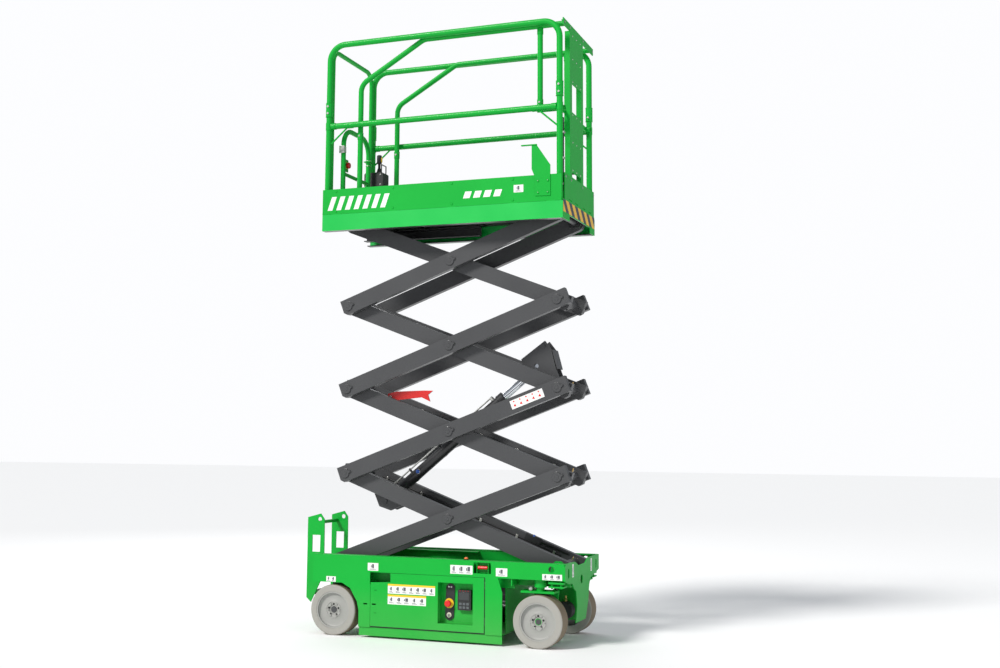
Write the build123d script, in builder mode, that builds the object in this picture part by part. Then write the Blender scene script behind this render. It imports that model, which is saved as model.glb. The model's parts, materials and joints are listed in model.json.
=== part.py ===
"""Self-propelled scissor lift table: a wheeled chassis, four stages of crossed arms driven by one
hydraulic cylinder, and a guard-railed platform with a slide-out deck extension.

Frame: millimetres, +Z up, +X towards the steering end, origin on the floor under the middle of the
footprint. It stands partly raised, with every joint at zero."""

import os
from math import atan2, cos, degrees, hypot, radians, sin

from build123d import *

os.makedirs("parts", exist_ok=True)

# ---------------------------------------------------------------- driving sizes
# Scissor pack
stages = 4
arm_length = 1500.0         # between the end pivots of one arm
rest_angle = 20.8           # slope of the arms as modelled
stowed_angle = 4.5          # slope of the arms with the platform down
top_angle = 61.0            # slope of the arms with the platform at its highest
arm_depth = 100.0
arm_width = 46.0
arm_wall = 5.0
arm_toe = 69.0              # steel beyond the pivot at the fixed end
arm_heel = 44.0             # steel beyond the pivot at the sliding end
inner_arm_y = 132.0         # inner face of the inner arms
arm_gap = 8.0               # between an inner and an outer arm
pin_radius = 17.5
pin_head = 6.0              # thickness of a pivot's head
hub_radius = 29.0
running_fit = 0.08          # radial clearance of a pin in its bore
open_fit = 0.4              # radial clearance of the pivots on the sliding side
rub_gap = 0.5               # between faces that slide past each other

# Chassis
half_width = 370.0          # outer face of the side plates and of the tyres
plate = 6.0
fixed_x = 800.0             # pivots of the fixed end
base_z = 449.0              # height of the lowest pivots
chassis_rear = -740.0
chassis_front = 892.0
chassis_top = 488.0
beam_low = 320.0            # underside of the rear beam
beam_mid = 392.0            # underside of the beam over the bay
bay_rear = -424.0
bay_front = 506.0
bay_floor = 63.0
ladder_rear = -892.0

# Wheels
wheel_radius = 152.5
wheel_width = 114.0
rim_radius = 112.0
axle_radius = 20.0
rear_wheel_x = -600.0
front_wheel_x = 724.0
kingpin_y = 310.0
kingpin_radius = 14.0
tie_pin_back = 60.0         # tie-rod pin, straight back from the kingpin

# Lift cylinder, placed on the arms that carry it
lower_pin_along = 1258.0    # from the lower pivot of the first inner arm
lower_pin_below = 98.0
upper_pin_along = 225.0     # from the lower pivot of the third inner arm
upper_pin_above = 65.0
barrel_radius = 35.0
barrel_wall = 5.0
barrel_length = 1035.0
rod_radius = 22.5
rod_length = 980.0
eye_radius = 38.0
cylinder_pin = 15.0

# Platform
platform_half = 360.0
platform_rear = -736.0
platform_front = 877.0
deck_drop = 56.0            # underside of the deck below the top pivots
floor_gap = 2.0             # floor above the arm ends that turn under it
floor_plate = 4.0
deck_rise = 49.0            # top of the deck side beam above the top pivots
toe_height = 164.0          # height of the toeboards
rail_height = 1178.0        # top rail above the top pivots
mid_rail_height = 636.0
rail_radius = 19.0
rail_wall = 3.0
rail_y = 332.0
inner_rail_y = 286.0
rail_bend = 105.0

# ---------------------------------------------------------------- places worked out from them
rest = radians(rest_angle)
reach = arm_length * cos(rest)
rise = arm_length * sin(rest)
slide_x = fixed_x - reach
slide_rear = fixed_x - arm_length * cos(radians(stowed_angle))
slide_front = fixed_x - arm_length * cos(radians(top_angle))
outer_arm_y = inner_arm_y + arm_width + arm_gap
outer_face_y = outer_arm_y + arm_width
head_y = outer_face_y + pin_head
block_y = (head_y + 7, head_y + 45)
deck_z = base_z + stages * rise

# ---------------------------------------------------------------- making helpers


def block(x_range, y_range, z_range, mode=Mode.ADD):
    """A square-cornered piece between two limits on each axis."""
    middle = [(low + high) / 2 for low, high in (x_range, y_range, z_range)]
    lengths = [high - low for low, high in (x_range, y_range, z_range)]
    with Locations(tuple(middle)):
        Box(*lengths, mode=mode)


def side_plate(outline, y_range, mode=Mode.ADD):
    """A plate standing along the machine, from its (x, z) outline."""
    with BuildSketch(Plane.XZ.offset(-y_range[0])) as face:
        with BuildLine():
            Polyline(*outline, close=True)
        make_face()
    extrude(face.sketch, amount=y_range[0] - y_range[1], mode=mode)


def end_panel(outline, x_range, mode=Mode.ADD):
    """A plate standing across the machine, from its (y, z) outline."""
    with BuildSketch(Plane.YZ.offset(x_range[0])) as face:
        with BuildLine():
            Polyline(*outline, close=True)
        make_face()
    extrude(face.sketch, amount=x_range[1] - x_range[0], mode=mode)


def cross_bar(x, z, y_range, radius, mode=Mode.ADD):
    """A round bar lying across the machine."""
    with Locations(Plane((x, sum(y_range) / 2, z), z_dir=(0, 1, 0))):
        Cylinder(radius, y_range[1] - y_range[0], mode=mode)


def upright(x, y, z_range, radius, mode=Mode.ADD):
    """A round bar standing up."""
    with Locations((x, y, sum(z_range) / 2)):
        Cylinder(radius, z_range[1] - z_range[0], mode=mode)


def long_bar(y, z, x_range, radius, mode=Mode.ADD):
    """A round bar lying along the machine."""
    with Locations(Plane((sum(x_range) / 2, y, z), z_dir=(1, 0, 0))):
        Cylinder(radius, x_range[1] - x_range[0], mode=mode)


def bent_tube(points, bend, radius, wall):
    """A tube along straight runs with rounded corners."""
    with BuildLine() as path:
        FilletPolyline(*points, radius=bend)
    start = path.line @ 0
    with BuildSketch(Plane(start, z_dir=path.line % 0)) as ring:
        Circle(radius)
        Circle(radius - wall, mode=Mode.SUBTRACT)
    sweep(ring.sketch, path=path.line)


def both_sides(y_range):
    """The near and the far copy of a span measured out from the middle."""
    return [(-y_range[1], -y_range[0]), (y_range[0], y_range[1])]


def save(node_name, *pieces):
    """Writes one node: one piece, or a group of separate pieces."""
    node = pieces[0] if len(pieces) == 1 else Compound(children=list(pieces))
    node.label = node_name
    export_step(node, f"parts/{node_name}.step")


# ---------------------------------------------------------------- scissor arms


def arm_plane(stage, inner, y=0.0):
    """Plane of one arm: x runs up the arm from its lower pivot, y is square to it and upwards."""
    lower_z = base_z + (stage - 1) * rise
    if inner:
        return Plane((fixed_x, y, lower_z), x_dir=(-cos(rest), 0, sin(rest)), z_dir=(0, 1, 0))
    return Plane((slide_x, y, lower_z), x_dir=(cos(rest), 0, sin(rest)), z_dir=(0, -1, 0))


def arm_tube(stage, inner, y_range):
    """One box-section arm, closed at both ends and bored at its three pivots. The arms of the last
    stage end in a half round, so that they turn close under the floor."""
    low_end, high_end = (arm_toe, arm_heel) if inner else (arm_heel, arm_toe)
    end_block = arm_depth / 4
    if stage == stages:
        high_end = 0.0
        end_block = 0.0
    middle = (sum(y_range)) / 2
    length = arm_length + low_end + high_end
    centre = (arm_length + high_end - low_end) / 2
    tube_plane = arm_plane(stage, inner, middle)
    bores = [(0, 0), (arm_length / 2, 0), (arm_length, 0)]
    with BuildPart() as tube:
        with BuildSketch(tube_plane) as section:
            with Locations((centre, 0)):
                Rectangle(length, arm_depth)
            heel = section.vertices().sort_by(Axis.X)[:2]
            chamfer(heel.sort_by(Axis.Y)[0], arm_depth / 5)
            if stage == stages:
                with Locations((arm_length, 0)):
                    Circle(arm_depth / 2)
        extrude(amount=arm_width / 2, both=True)
        with BuildSketch(tube_plane) as hollow:
            with Locations((centre, 0)):
                Rectangle(length - 2 * arm_wall - end_block, arm_depth - 2 * arm_wall)
        extrude(amount=arm_width / 2 - arm_wall, both=True, mode=Mode.SUBTRACT)
        with BuildSketch(tube_plane) as holes:
            with Locations(*bores):
                Circle(pin_radius + running_fit)
        extrude(amount=arm_width, both=True, mode=Mode.SUBTRACT)
    return tube.part


def hub_tube(stage, along, fit):
    """The cross tube that joins an inner pair and houses a pivot shaft."""
    with BuildPart() as hub:
        with BuildSketch(arm_plane(stage, True)):
            with Locations((along, 0)):
                Circle(hub_radius)
                Circle(pin_radius + fit, mode=Mode.SUBTRACT)
        extrude(amount=inner_arm_y, both=True)
    return hub.part


def pivot_pin(stage, along, y_range, head_sides):
    """A pivot pin of an outer arm, with a head and a keeper bolt on each side named."""
    with BuildPart() as pin:
        with BuildSketch(arm_plane(stage, False, y_range[0])):
            with Locations((along, 0)):
                Circle(pin_radius)
        extrude(amount=y_range[0] - y_range[1])
        for side in head_sides:
            start = outer_face_y * side
            with BuildSketch(arm_plane(stage, False, start)):
                with Locations((along, 0)):
                    Circle(pin_radius * 1.6)
                with Locations((along + pin_radius * 1.7, 0)):
                    SlotOverall(pin_radius * 1.6, pin_radius * 0.9)
            extrude(amount=-pin_head * side)
            with BuildSketch(arm_plane(stage, False, head_y * side)):
                with Locations((along + pin_radius * 1.95, 0)):
                    RegularPolygon(pin_radius * 0.36, 6)
            extrude(amount=-pin_head * side * 0.6)
    return pin.part


def bracket_plates(stage, outline, y_range, hole_places, hole_radius):
    """A pair of cheek plates in the plane of an inner arm."""
    cheeks = []
    for side in (-1, 1):
        with BuildPart() as cheek:
            with BuildSketch(arm_plane(stage, True, side * y_range[0])):
                with BuildLine():
                    Polyline(*outline, close=True)
                make_face()
                with Locations(*hole_places):
                    Circle(hole_radius, mode=Mode.SUBTRACT)
            extrude(amount=side * (y_range[1] - y_range[0]))
        cheeks.append(cheek.part)
    return cheeks


cheek_inner = eye_radius + rub_gap * 8
cheek_outer = cheek_inner + 12.0

inner_spans = both_sides((inner_arm_y, inner_arm_y + arm_width))
for stage in range(1, stages + 1):
    inner_pieces = [arm_tube(stage, True, span) for span in inner_spans]
    outer_pieces = [arm_tube(stage, False, span) for span in both_sides((outer_arm_y, outer_face_y))]
    inner_pieces.append(hub_tube(stage, 0, running_fit))
    inner_pieces.append(hub_tube(stage, arm_length, running_fit if stage == stages else open_fit))
    if stage == 1:
        # Cheeks of the cylinder's lower pin hang from the sliding-end hub.
        hanger = [
            (lower_pin_along - 178, -arm_depth / 2 + 20),
            (lower_pin_along - 67, -lower_pin_below - eye_radius + 2),
            (lower_pin_along + 18, -lower_pin_below - eye_radius - 4),
            (lower_pin_along + 100, -arm_depth / 2 - 6),
            (arm_length - hub_radius, -hub_radius),
            (arm_length - hub_radius, hub_radius / 2),
            (lower_pin_along + 60, -arm_depth / 2 + 25),
        ]
        inner_pieces += bracket_plates(
            stage, hanger, (cheek_inner, cheek_outer), [(lower_pin_along, -lower_pin_below)], cylinder_pin
        )
        with BuildPart() as lower_cylinder_pin:
            with BuildSketch(arm_plane(stage, True)):
                with Locations((lower_pin_along, -lower_pin_below)):
                    Circle(cylinder_pin)
            extrude(amount=cheek_outer, both=True)
            for side in (-1, 1):
                with BuildSketch(arm_plane(stage, True, side * cheek_outer)):
                    with Locations((lower_pin_along, -lower_pin_below)):
                        Circle(cylinder_pin * 1.6)
                extrude(amount=side * pin_head)
        inner_pieces.append(lower_cylinder_pin.part)
    if stage == 3:
        # The tall cheeks of the upper pin stand on the fixed-end hub.
        tower = [
            (hub_radius, -hub_radius / 2),
            (upper_pin_along + 60, arm_depth / 2 - 30),
            (upper_pin_along + 108, arm_depth / 2 + 20),
            (upper_pin_along + 4, upper_pin_above + 166),
            (upper_pin_along - 54, upper_pin_above + 131),
            (upper_pin_along - 128, arm_depth / 2 + 40),
            (hub_radius, hub_radius / 2),
        ]
        inner_pieces += bracket_plates(
            stage,
            tower,
            (cheek_inner, cheek_outer),
            [(upper_pin_along, upper_pin_above), (upper_pin_along + 4, upper_pin_above + 131)],
            cylinder_pin,
        )
        with BuildPart() as spacer:
            with BuildSketch(arm_plane(stage, True)):
                with Locations((upper_pin_along + 4, upper_pin_above + 131)):
                    Circle(cylinder_pin)
            extrude(amount=cheek_outer + pin_head, both=True)
        inner_pieces.append(spacer.part)
        with BuildPart() as closing_plate:
            with BuildSketch(arm_plane(stage, True)):
                with BuildLine():
                    Polyline(
                        (upper_pin_along - 60, upper_pin_above + 128),
                        (upper_pin_along - 132, arm_depth / 2 + 44),
                        (upper_pin_along - 137, arm_depth / 2 + 48),
                        (upper_pin_along - 65, upper_pin_above + 132),
                        close=True,
                    )
                make_face()
            extrude(amount=cheek_outer, both=True)
        inner_pieces.append(closing_plate.part)
    save(f"inner_arms_{stage}", *inner_pieces)
    save(f"outer_arms_{stage}", *outer_pieces)

    through = (-outer_face_y, outer_face_y)
    if stage == 1:
        lower_pivot = pivot_pin(stage, 0, (-block_y[1] - 1, block_y[1] + 1), [])
    else:
        lower_pivot = pivot_pin(stage, 0, through, [-1, 1])
    centre_pins = [
        pivot_pin(stage, arm_length / 2, (-outer_face_y, -inner_arm_y + 4), [-1]),
        pivot_pin(stage, arm_length / 2, (inner_arm_y - 4, outer_face_y), [1]),
    ]
    save(f"pivot_pins_{stage}", lower_pivot, *centre_pins, pivot_pin(stage, arm_length, through, [-1, 1]))

# ---------------------------------------------------------------- sliding end: tracks, blocks, shafts
block_half = 26.0
block_length = 64.0
track_wall_y = block_y[1] + 3


def slide_blocks(z):
    """The near and far wear blocks that run in a pair of tracks."""
    blocks = []
    shoe_x = (slide_x - block_length / 2, slide_x + block_length / 2)
    for span in both_sides(block_y):
        with BuildPart() as shoe:
            block(shoe_x, span, (z - block_half, z + block_half))
            fillet(shoe.edges().filter_by(Axis.Y), 6)
            cross_bar(slide_x, z, span, pin_radius + running_fit, Mode.SUBTRACT)
        blocks.append(shoe.part)
    return blocks


def track(span, z, x_range):
    """One channel track, open towards the middle of the machine."""
    near_side = span[0] < 0
    web = (span[0], span[0] + plate) if near_side else (span[1] - plate, span[1])
    with BuildPart() as channel:
        block(x_range, web, (z - block_half - rub_gap - plate, z + block_half + rub_gap + plate))
        block(x_range, span, (z + block_half + rub_gap, z + block_half + rub_gap + plate))
        block(x_range, span, (z - block_half - rub_gap - plate, z - block_half - rub_gap))
    return channel.part


track_span = (block_y[0] - 1, track_wall_y + plate)
chassis_track_x = (slide_rear - block_length / 2 - 8, slide_front + block_length / 2 + 12)
save("lower_slide_blocks", *slide_blocks(base_z))
save("upper_slide_blocks", *slide_blocks(deck_z))

with BuildPart() as deck_slide_shaft:
    cross_bar(slide_x, deck_z, (-block_y[1] - 1, block_y[1] + 1), pin_radius)
save("deck_slide_shaft", deck_slide_shaft.part)

ear_y = (outer_arm_y + 4, outer_arm_y + 20)
with BuildPart() as base_pivot_shaft:
    cross_bar(fixed_x, base_z, (-ear_y[1], ear_y[1]), pin_radius)
    for span in both_sides((ear_y[1], ear_y[1] + pin_head)):
        cross_bar(fixed_x, base_z, span, pin_radius * 1.6)
save("base_pivot_shaft", base_pivot_shaft.part)

# ---------------------------------------------------------------- lift cylinder
lower_pin_x = fixed_x - lower_pin_along * cos(rest) - lower_pin_below * sin(rest)
lower_pin_z = base_z + lower_pin_along * sin(rest) - lower_pin_below * cos(rest)
upper_pin_x = fixed_x - upper_pin_along * cos(rest) + upper_pin_above * sin(rest)
upper_pin_z = base_z + 2 * rise + upper_pin_along * sin(rest) + upper_pin_above * cos(rest)
pin_distance = hypot(upper_pin_x - lower_pin_x, upper_pin_z - lower_pin_z)
slope = atan2(upper_pin_z - lower_pin_z, upper_pin_x - lower_pin_x)
cylinder_axis = (cos(slope), 0, sin(slope))
cylinder_plane = Plane((lower_pin_x, 0, lower_pin_z), x_dir=(0, 1, 0), z_dir=cylinder_axis)
bore_radius = barrel_radius - barrel_wall
gland_length = 40.0

with BuildPart() as lift_cylinder:
    with BuildSketch(cylinder_plane.offset(eye_radius * 0.7)):
        Circle(barrel_radius)
    extrude(amount=barrel_length - gland_length - eye_radius * 0.7)
    with BuildSketch(cylinder_plane.offset(barrel_length - gland_length)):
        Circle(barrel_radius + 4)
    extrude(amount=gland_length)
    with BuildSketch(cylinder_plane.offset(eye_radius + 22)):
        Circle(bore_radius)
    extrude(amount=barrel_length - gland_length - eye_radius - 22, mode=Mode.SUBTRACT)
    with BuildSketch(cylinder_plane.offset(barrel_length - gland_length)):
        Circle(rod_radius + running_fit)
    extrude(amount=gland_length, mode=Mode.SUBTRACT)
    cross_bar(lower_pin_x, lower_pin_z, (-cheek_inner + rub_gap, cheek_inner - rub_gap), eye_radius)
    pin_bore = cylinder_pin + running_fit
    cross_bar(lower_pin_x, lower_pin_z, (-cheek_inner, cheek_inner), pin_bore, Mode.SUBTRACT)
save("lift_cylinder", lift_cylinder.part)

with BuildPart() as lift_rod:
    with BuildSketch(cylinder_plane.offset(pin_distance - rod_length)):
        Circle(bore_radius - 0.05)
    extrude(amount=gland_length)
    with BuildSketch(cylinder_plane.offset(pin_distance - rod_length + gland_length)):
        Circle(rod_radius)
    extrude(amount=rod_length - gland_length - eye_radius * 0.6)
    cross_bar(upper_pin_x, upper_pin_z, (-cheek_inner + rub_gap, cheek_inner - rub_gap), eye_radius)
save("lift_rod", lift_rod.part)

# Red maintenance prop, hinged on the inner face of the second inner arm
prop_along = 1240.0
prop_y = (-inner_arm_y + rub_gap, -inner_arm_y + rub_gap + 10)
with BuildPart() as safety_prop:
    with BuildSketch(arm_plane(2, True, prop_y[0])):
        with BuildLine():
            Polyline(
                (prop_along + 22, 62),
                (prop_along - 30, 96),
                (prop_along - 205, 168),
                (prop_along - 262, 188),
                (prop_along - 240, 152),
                (prop_along - 268, 118),
                (prop_along - 205, 122),
                (prop_along - 60, 50),
                (prop_along + 10, 18),
                close=True,
            )
        make_face()
        with Locations((prop_along, 48)):
            Circle(10, mode=Mode.SUBTRACT)
    extrude(amount=10)
save("safety_prop", safety_prop.part)

# ---------------------------------------------------------------- chassis frame
plate_y = (half_width - plate, half_width)
door_left = -345.0
door_notch = -213.0
door_right = 398.0
door_low = 67.0
door_gap = 2.0
notch_height = 337.0
handle_window = (326.0, 436.0)
handle_window_z = (414.0, 478.0)
handle_x = 381.0
handle_z = 448.0
inner_wall_y = (track_wall_y + plate, track_wall_y + 2 * plate)
arm_well_y = head_y + 1
pan_z = 350.0
housing_z = (346.0, 396.0)

frame_pieces = []
for side in (-1, 1):
    outer = tuple(sorted((side * plate_y[0], side * plate_y[1])))
    with BuildPart() as rear_beam:
        block((chassis_rear, door_left - 5), outer, (beam_low, chassis_top))
    beam_x = (door_left - 5, chassis_front - plate)
    with BuildPart() as long_beam:
        block((handle_window[1], beam_x[1]), outer, (beam_mid, chassis_top))
        cross_bar(808, 455, (outer[0], outer[1]), 18, Mode.SUBTRACT)
    with BuildPart() as mid_beam:
        block((beam_x[0], handle_window[0]), outer, (beam_mid, chassis_top))
    with BuildPart() as window_sill:
        block(handle_window, outer, (beam_mid, handle_window_z[0]))
    with BuildPart() as window_head:
        block(handle_window, outer, (handle_window_z[1], chassis_top))
    frame_pieces += [mid_beam.part, window_sill.part, window_head.part]
    if side > 0:
        with BuildPart() as blank_window:
            block(handle_window, outer, handle_window_z)
        frame_pieces.append(blank_window.part)
    with BuildPart() as rear_skirt:
        side_plate(
            [
                (bay_rear, bay_floor),
                (door_left - door_gap, bay_floor),
                (door_left - door_gap, beam_low),
                (bay_rear - 116, beam_low),
                (bay_rear - 60, beam_low - 30),
                (bay_rear - 12, beam_low - 108),
                (bay_rear, beam_low - 161),
            ],
            outer,
        )
    with BuildPart() as front_skirt:
        side_plate(
            [
                (door_right + door_gap, bay_floor),
                (bay_front, bay_floor),
                (bay_front, 311),
                (bay_front - 26, beam_mid),
                (door_right + door_gap, beam_mid),
            ],
            outer,
        )
    flange = tuple(sorted((side * (plate_y[0] - 38), side * plate_y[0])))
    with BuildPart() as top_flange:
        block((chassis_rear, chassis_front - plate), flange, (chassis_top - plate, chassis_top))
    inner = tuple(sorted((side * inner_wall_y[0], side * inner_wall_y[1])))
    with BuildPart() as inner_wall:
        block((chassis_rear + plate, 560), inner, (beam_low + 10, chassis_top - plate))
    tie = tuple(sorted((side * inner_wall_y[1], side * plate_y[0])))
    with BuildPart() as rear_shelf:
        block((chassis_rear + plate, bay_rear), tie, (beam_low + 10, beam_low + 16))
    with BuildPart() as front_shelf:
        shelf = tuple(sorted((side * arm_well_y, side * plate_y[0])))
        block((560 + plate, chassis_front - plate), shelf, (396, 402))
    well = tuple(sorted((side * arm_well_y, side * (arm_well_y + plate))))
    with BuildPart() as well_wall:
        block((560 + plate, chassis_front - plate), well, (pan_z, 396))
    ear = tuple(sorted((side * ear_y[0], side * ear_y[1])))
    with BuildPart() as pivot_ear:
        side_plate(
            [
                (fixed_x - 70, pan_z + plate),
                (fixed_x + 60, pan_z + plate),
                (fixed_x + 38, base_z + 20),
                (fixed_x + 18, base_z + 38),
                (fixed_x - 18, base_z + 38),
                (fixed_x - 38, base_z + 20),
            ],
            ear,
        )
        cross_bar(fixed_x, base_z, ear, pin_radius, Mode.SUBTRACT)
    with BuildPart() as kingpin_housing:
        upright(front_wheel_x, side * kingpin_y, housing_z, 36)
        upright(front_wheel_x, side * kingpin_y, housing_z, kingpin_radius + running_fit, Mode.SUBTRACT)
    lug = tuple(sorted((side * (plate_y[0] - 70), side * plate_y[0])))
    with BuildPart() as tow_lug:
        block((788, 880), lug, (372, 382))
        block((788, 880), lug, (350, 358))
        for bolt_x in (806, 860):
            upright(bolt_x, side * (plate_y[0] - 16), (344, 396), 7)
    channel_span = tuple(sorted((side * track_span[0], side * track_span[1])))
    frame_pieces += [
        rear_beam.part,
        long_beam.part,
        rear_skirt.part,
        front_skirt.part,
        top_flange.part,
        inner_wall.part,
        rear_shelf.part,
        front_shelf.part,
        well_wall.part,
        pivot_ear.part,
        kingpin_housing.part,
        tow_lug.part,
        track(channel_span, base_z, (chassis_rear + plate, chassis_track_x[1])),
    ]

inner_span = (-inner_wall_y[0], inner_wall_y[0])
full_span = (-plate_y[0], plate_y[0])
with BuildPart() as rear_plate:
    block((chassis_rear, chassis_rear + plate), full_span, (beam_low, base_z - block_half - 28))
with BuildPart() as rear_deck:
    block((chassis_rear + plate, bay_rear), inner_span, (beam_low + 10, beam_low + 16))
with BuildPart() as rear_bulkhead:
    block((bay_rear, bay_rear + plate), inner_span, (bay_floor + plate, beam_mid - 12))
with BuildPart() as front_bulkhead:
    block((bay_front - plate, bay_front), inner_span, (bay_floor + plate, beam_mid - 12))
with BuildPart() as bay_pan:
    block((bay_rear, bay_front), (-plate_y[0] + 20, plate_y[0] - 20), (bay_floor, bay_floor + plate))
with BuildPart() as cross_plate:
    block((560, 560 + plate), full_span, (pan_z, beam_mid))
well_span = (-arm_well_y - plate, arm_well_y + plate)
with BuildPart() as front_pan:
    block((560 + plate, chassis_front - plate), well_span, (pan_z - plate, pan_z))
with BuildPart() as ear_seat:
    block((fixed_x - 80, fixed_x + 70), (-ear_y[1], ear_y[1]), (pan_z, pan_z + plate))
pocket_back = (-plate_y[0] + 24, -plate_y[0] + 28)
with BuildPart() as handle_pocket:
    block((handle_window[0] + 18, handle_window[1] - 18), pocket_back, handle_window_z)
    cross_bar(handle_x, handle_z, pocket_back, 6, Mode.SUBTRACT)
for tab_x in (handle_window[0] + 18, handle_window[1] - 21):
    with BuildPart() as pocket_tab:
        block((tab_x, tab_x + 3), (-plate_y[0], pocket_back[0]), handle_window_z)
    frame_pieces.append(pocket_tab.part)
frame_pieces += [
    rear_plate.part,
    rear_deck.part,
    rear_bulkhead.part,
    front_bulkhead.part,
    bay_pan.part,
    cross_plate.part,
    front_pan.part,
    ear_seat.part,
    handle_pocket.part,
]
save("chassis_frame", *frame_pieces)

# Steering-end plate with its notch for the arms and the tongue that guards the linkage
with BuildPart() as end_plate:
    end_panel(
        [
            (-354, chassis_top),
            (-249, chassis_top),
            (-164, chassis_top - 3),
            (-86, chassis_top - 30),
            (51, chassis_top - 28),
            (118, chassis_top),
            (plate_y[1], chassis_top),
            (plate_y[1], 397),
            (183, 363),
            (149, 329),
            (140, 307),
            (120, 228),
            (63, 129),
            (-150, 129),
            (-120, 228),
            (-142, 312),
            (-189, 334),
            (-227, 365),
            (-287, 367),
            (-plate_y[1], 389),
            (-plate_y[1], chassis_top - 16),
        ],
        (chassis_front - plate, chassis_front),
    )
    long_bar(-23, 372, (chassis_front - plate, chassis_front), 26, Mode.SUBTRACT)
    for slot_y, slot_z in ((-300, 430), (300, 436)):
        with BuildSketch(Plane.YZ.offset(chassis_front - plate)) as slot:
            with Locations((slot_y, slot_z)):
                SlotOverall(56, 26, rotation=90)
        extrude(slot.sketch, amount=plate, mode=Mode.SUBTRACT)
save("end_plate", end_plate.part)

# ---------------------------------------------------------------- ladder
ladder_y = (164.0, 170.0)
ladder_pieces = []
for span in both_sides(ladder_y):
    with BuildPart() as stile:
        side_plate(
            [
                (ladder_rear, 697),
                (ladder_rear + 92, 722),
                (ladder_rear + 119, 686),
                (ladder_rear + 121, 390),
                (chassis_rear, 390),
                (chassis_rear, 330),
                (ladder_rear + 100, 300),
                (ladder_rear + 32, 164),
                (ladder_rear, 193),
            ],
            span,
        )
        side_plate(
            [
                (ladder_rear + 34, 480),
                (ladder_rear + 90, 480),
                (ladder_rear + 92, 586),
                (ladder_rear + 34, 586),
            ],
            span,
            Mode.SUBTRACT,
        )
        cross_bar(ladder_rear + 86, 686, span, 14, Mode.SUBTRACT)
    ladder_pieces.append(stile.part)
for step_z in (230, 430):
    with BuildPart() as step:
        block((ladder_rear + 26, ladder_rear + 82), (-ladder_y[0], ladder_y[0]), (step_z, step_z + 4))
        block((ladder_rear + 26, ladder_rear + 30), (-ladder_y[0], ladder_y[0]), (step_z - 26, step_z))
    ladder_pieces.append(step.part)
with BuildPart() as hand_bar:
    cross_bar(ladder_rear + 40, 660, (-ladder_y[0], ladder_y[0]), 11)
ladder_pieces.append(hand_bar.part)
save("ladder", *ladder_pieces)

# ---------------------------------------------------------------- doors of the two side bays
recess_x = (99.0, 323.0)
recess_z = (111.0, 351.0)
recess_depth = 55.0
hinge_x = door_right - 1.0


def door_outline():
    """Outline of a bay door, stepped down under the fork pocket at its latch end."""
    return [
        (door_left, door_low),
        (door_right, door_low),
        (door_right, beam_mid - door_gap),
        (door_notch, beam_mid - door_gap),
        (door_notch, notch_height),
        (door_left, notch_height - 6),
    ]


near_face = (-plate_y[1], -plate_y[0])
with BuildPart() as control_door:
    side_plate(door_outline(), near_face)
    block(recess_x, near_face, recess_z, Mode.SUBTRACT)
    pocket_y = (-plate_y[0], -plate_y[0] + recess_depth)
    block((recess_x[0] - 3, recess_x[1] + 3), pocket_y, (recess_z[0] - 3, recess_z[1] + 3))
    block(recess_x, (pocket_y[0], pocket_y[1] - 3), recess_z, Mode.SUBTRACT)
save("control_door", control_door.part)

with BuildPart() as battery_door:
    side_plate(door_outline(), (plate_y[0], plate_y[1]))
    cross_bar(door_left + 40, 200, (plate_y[0], plate_y[1]), 12, Mode.SUBTRACT)
save("battery_door", battery_door.part)

# ---------------------------------------------------------------- ground controls
panel_y = -plate_y[0] + recess_depth - 3
button_x = 153.0
stop_z = 226.0
key_z = 157.0
stop_stem = 8.0
stop_travel = 4.0
with BuildPart() as control_strip:
    with BuildSketch(Plane.XZ.offset(-panel_y)) as pill:
        with Locations((button_x + 4, 234)):
            SlotOverall(215, 56, rotation=88)
        with Locations((button_x, stop_z)):
            Circle(stop_stem + 0.5, mode=Mode.SUBTRACT)
        with Locations((button_x, key_z)):
            Circle(9.5, mode=Mode.SUBTRACT)
    extrude(pill.sketch, amount=6)
with BuildPart() as display_unit:
    block((214, 298), (panel_y - 26, panel_y), (191, 309))
    fillet(display_unit.edges().filter_by(Axis.Y), 5)
save("control_panel", control_strip.part, display_unit.part)

with BuildPart() as ground_stop:
    cross_bar(button_x, stop_z, (panel_y - 24, panel_y - stop_travel - 1), stop_stem)
    cross_bar(button_x, stop_z, (panel_y - 40, panel_y - 24), 20)
    fillet(ground_stop.edges().filter_by(GeomType.CIRCLE).sort_by(Axis.Y)[0], 6)
save("ground_stop_button", ground_stop.part)

with BuildPart() as key_switch:
    cross_bar(button_x, key_z, (panel_y - 14, panel_y - 0.5), 9)
    block((button_x - 1.5, button_x + 1.5), (panel_y - 34, panel_y - 14), (key_z - 8, key_z + 8))
save("key_switch", key_switch.part)

with BuildPart() as lowering_handle:
    cross_bar(handle_x, handle_z, (-plate_y[0] - 2, -plate_y[0] + 60), 5)
    with Locations(Plane((handle_x, -plate_y[0] + 5, handle_z), z_dir=(1, 0, 0))):
        Cylinder(9, 62)
    fillet(lowering_handle.edges().filter_by(GeomType.CIRCLE).sort_by(Axis.X)[0], 4)
    fillet(lowering_handle.edges().filter_by(GeomType.CIRCLE).sort_by(Axis.X)[-1], 4)
save("lowering_handle", lowering_handle.part)

# ---------------------------------------------------------------- pothole guards
guard_y = (plate_y[0] - 7, plate_y[0] - 1)
guard_low = 12.5
for side_name, span in zip(("near", "far"), both_sides(guard_y)):
    with BuildPart() as guard:
        block((bay_rear + 2, bay_front - 2), span, (guard_low, bay_floor + 1))
        fillet(guard.edges().filter_by(Axis.Y), 2.5)
    save(f"pothole_guard_{side_name}", guard.part)

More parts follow.
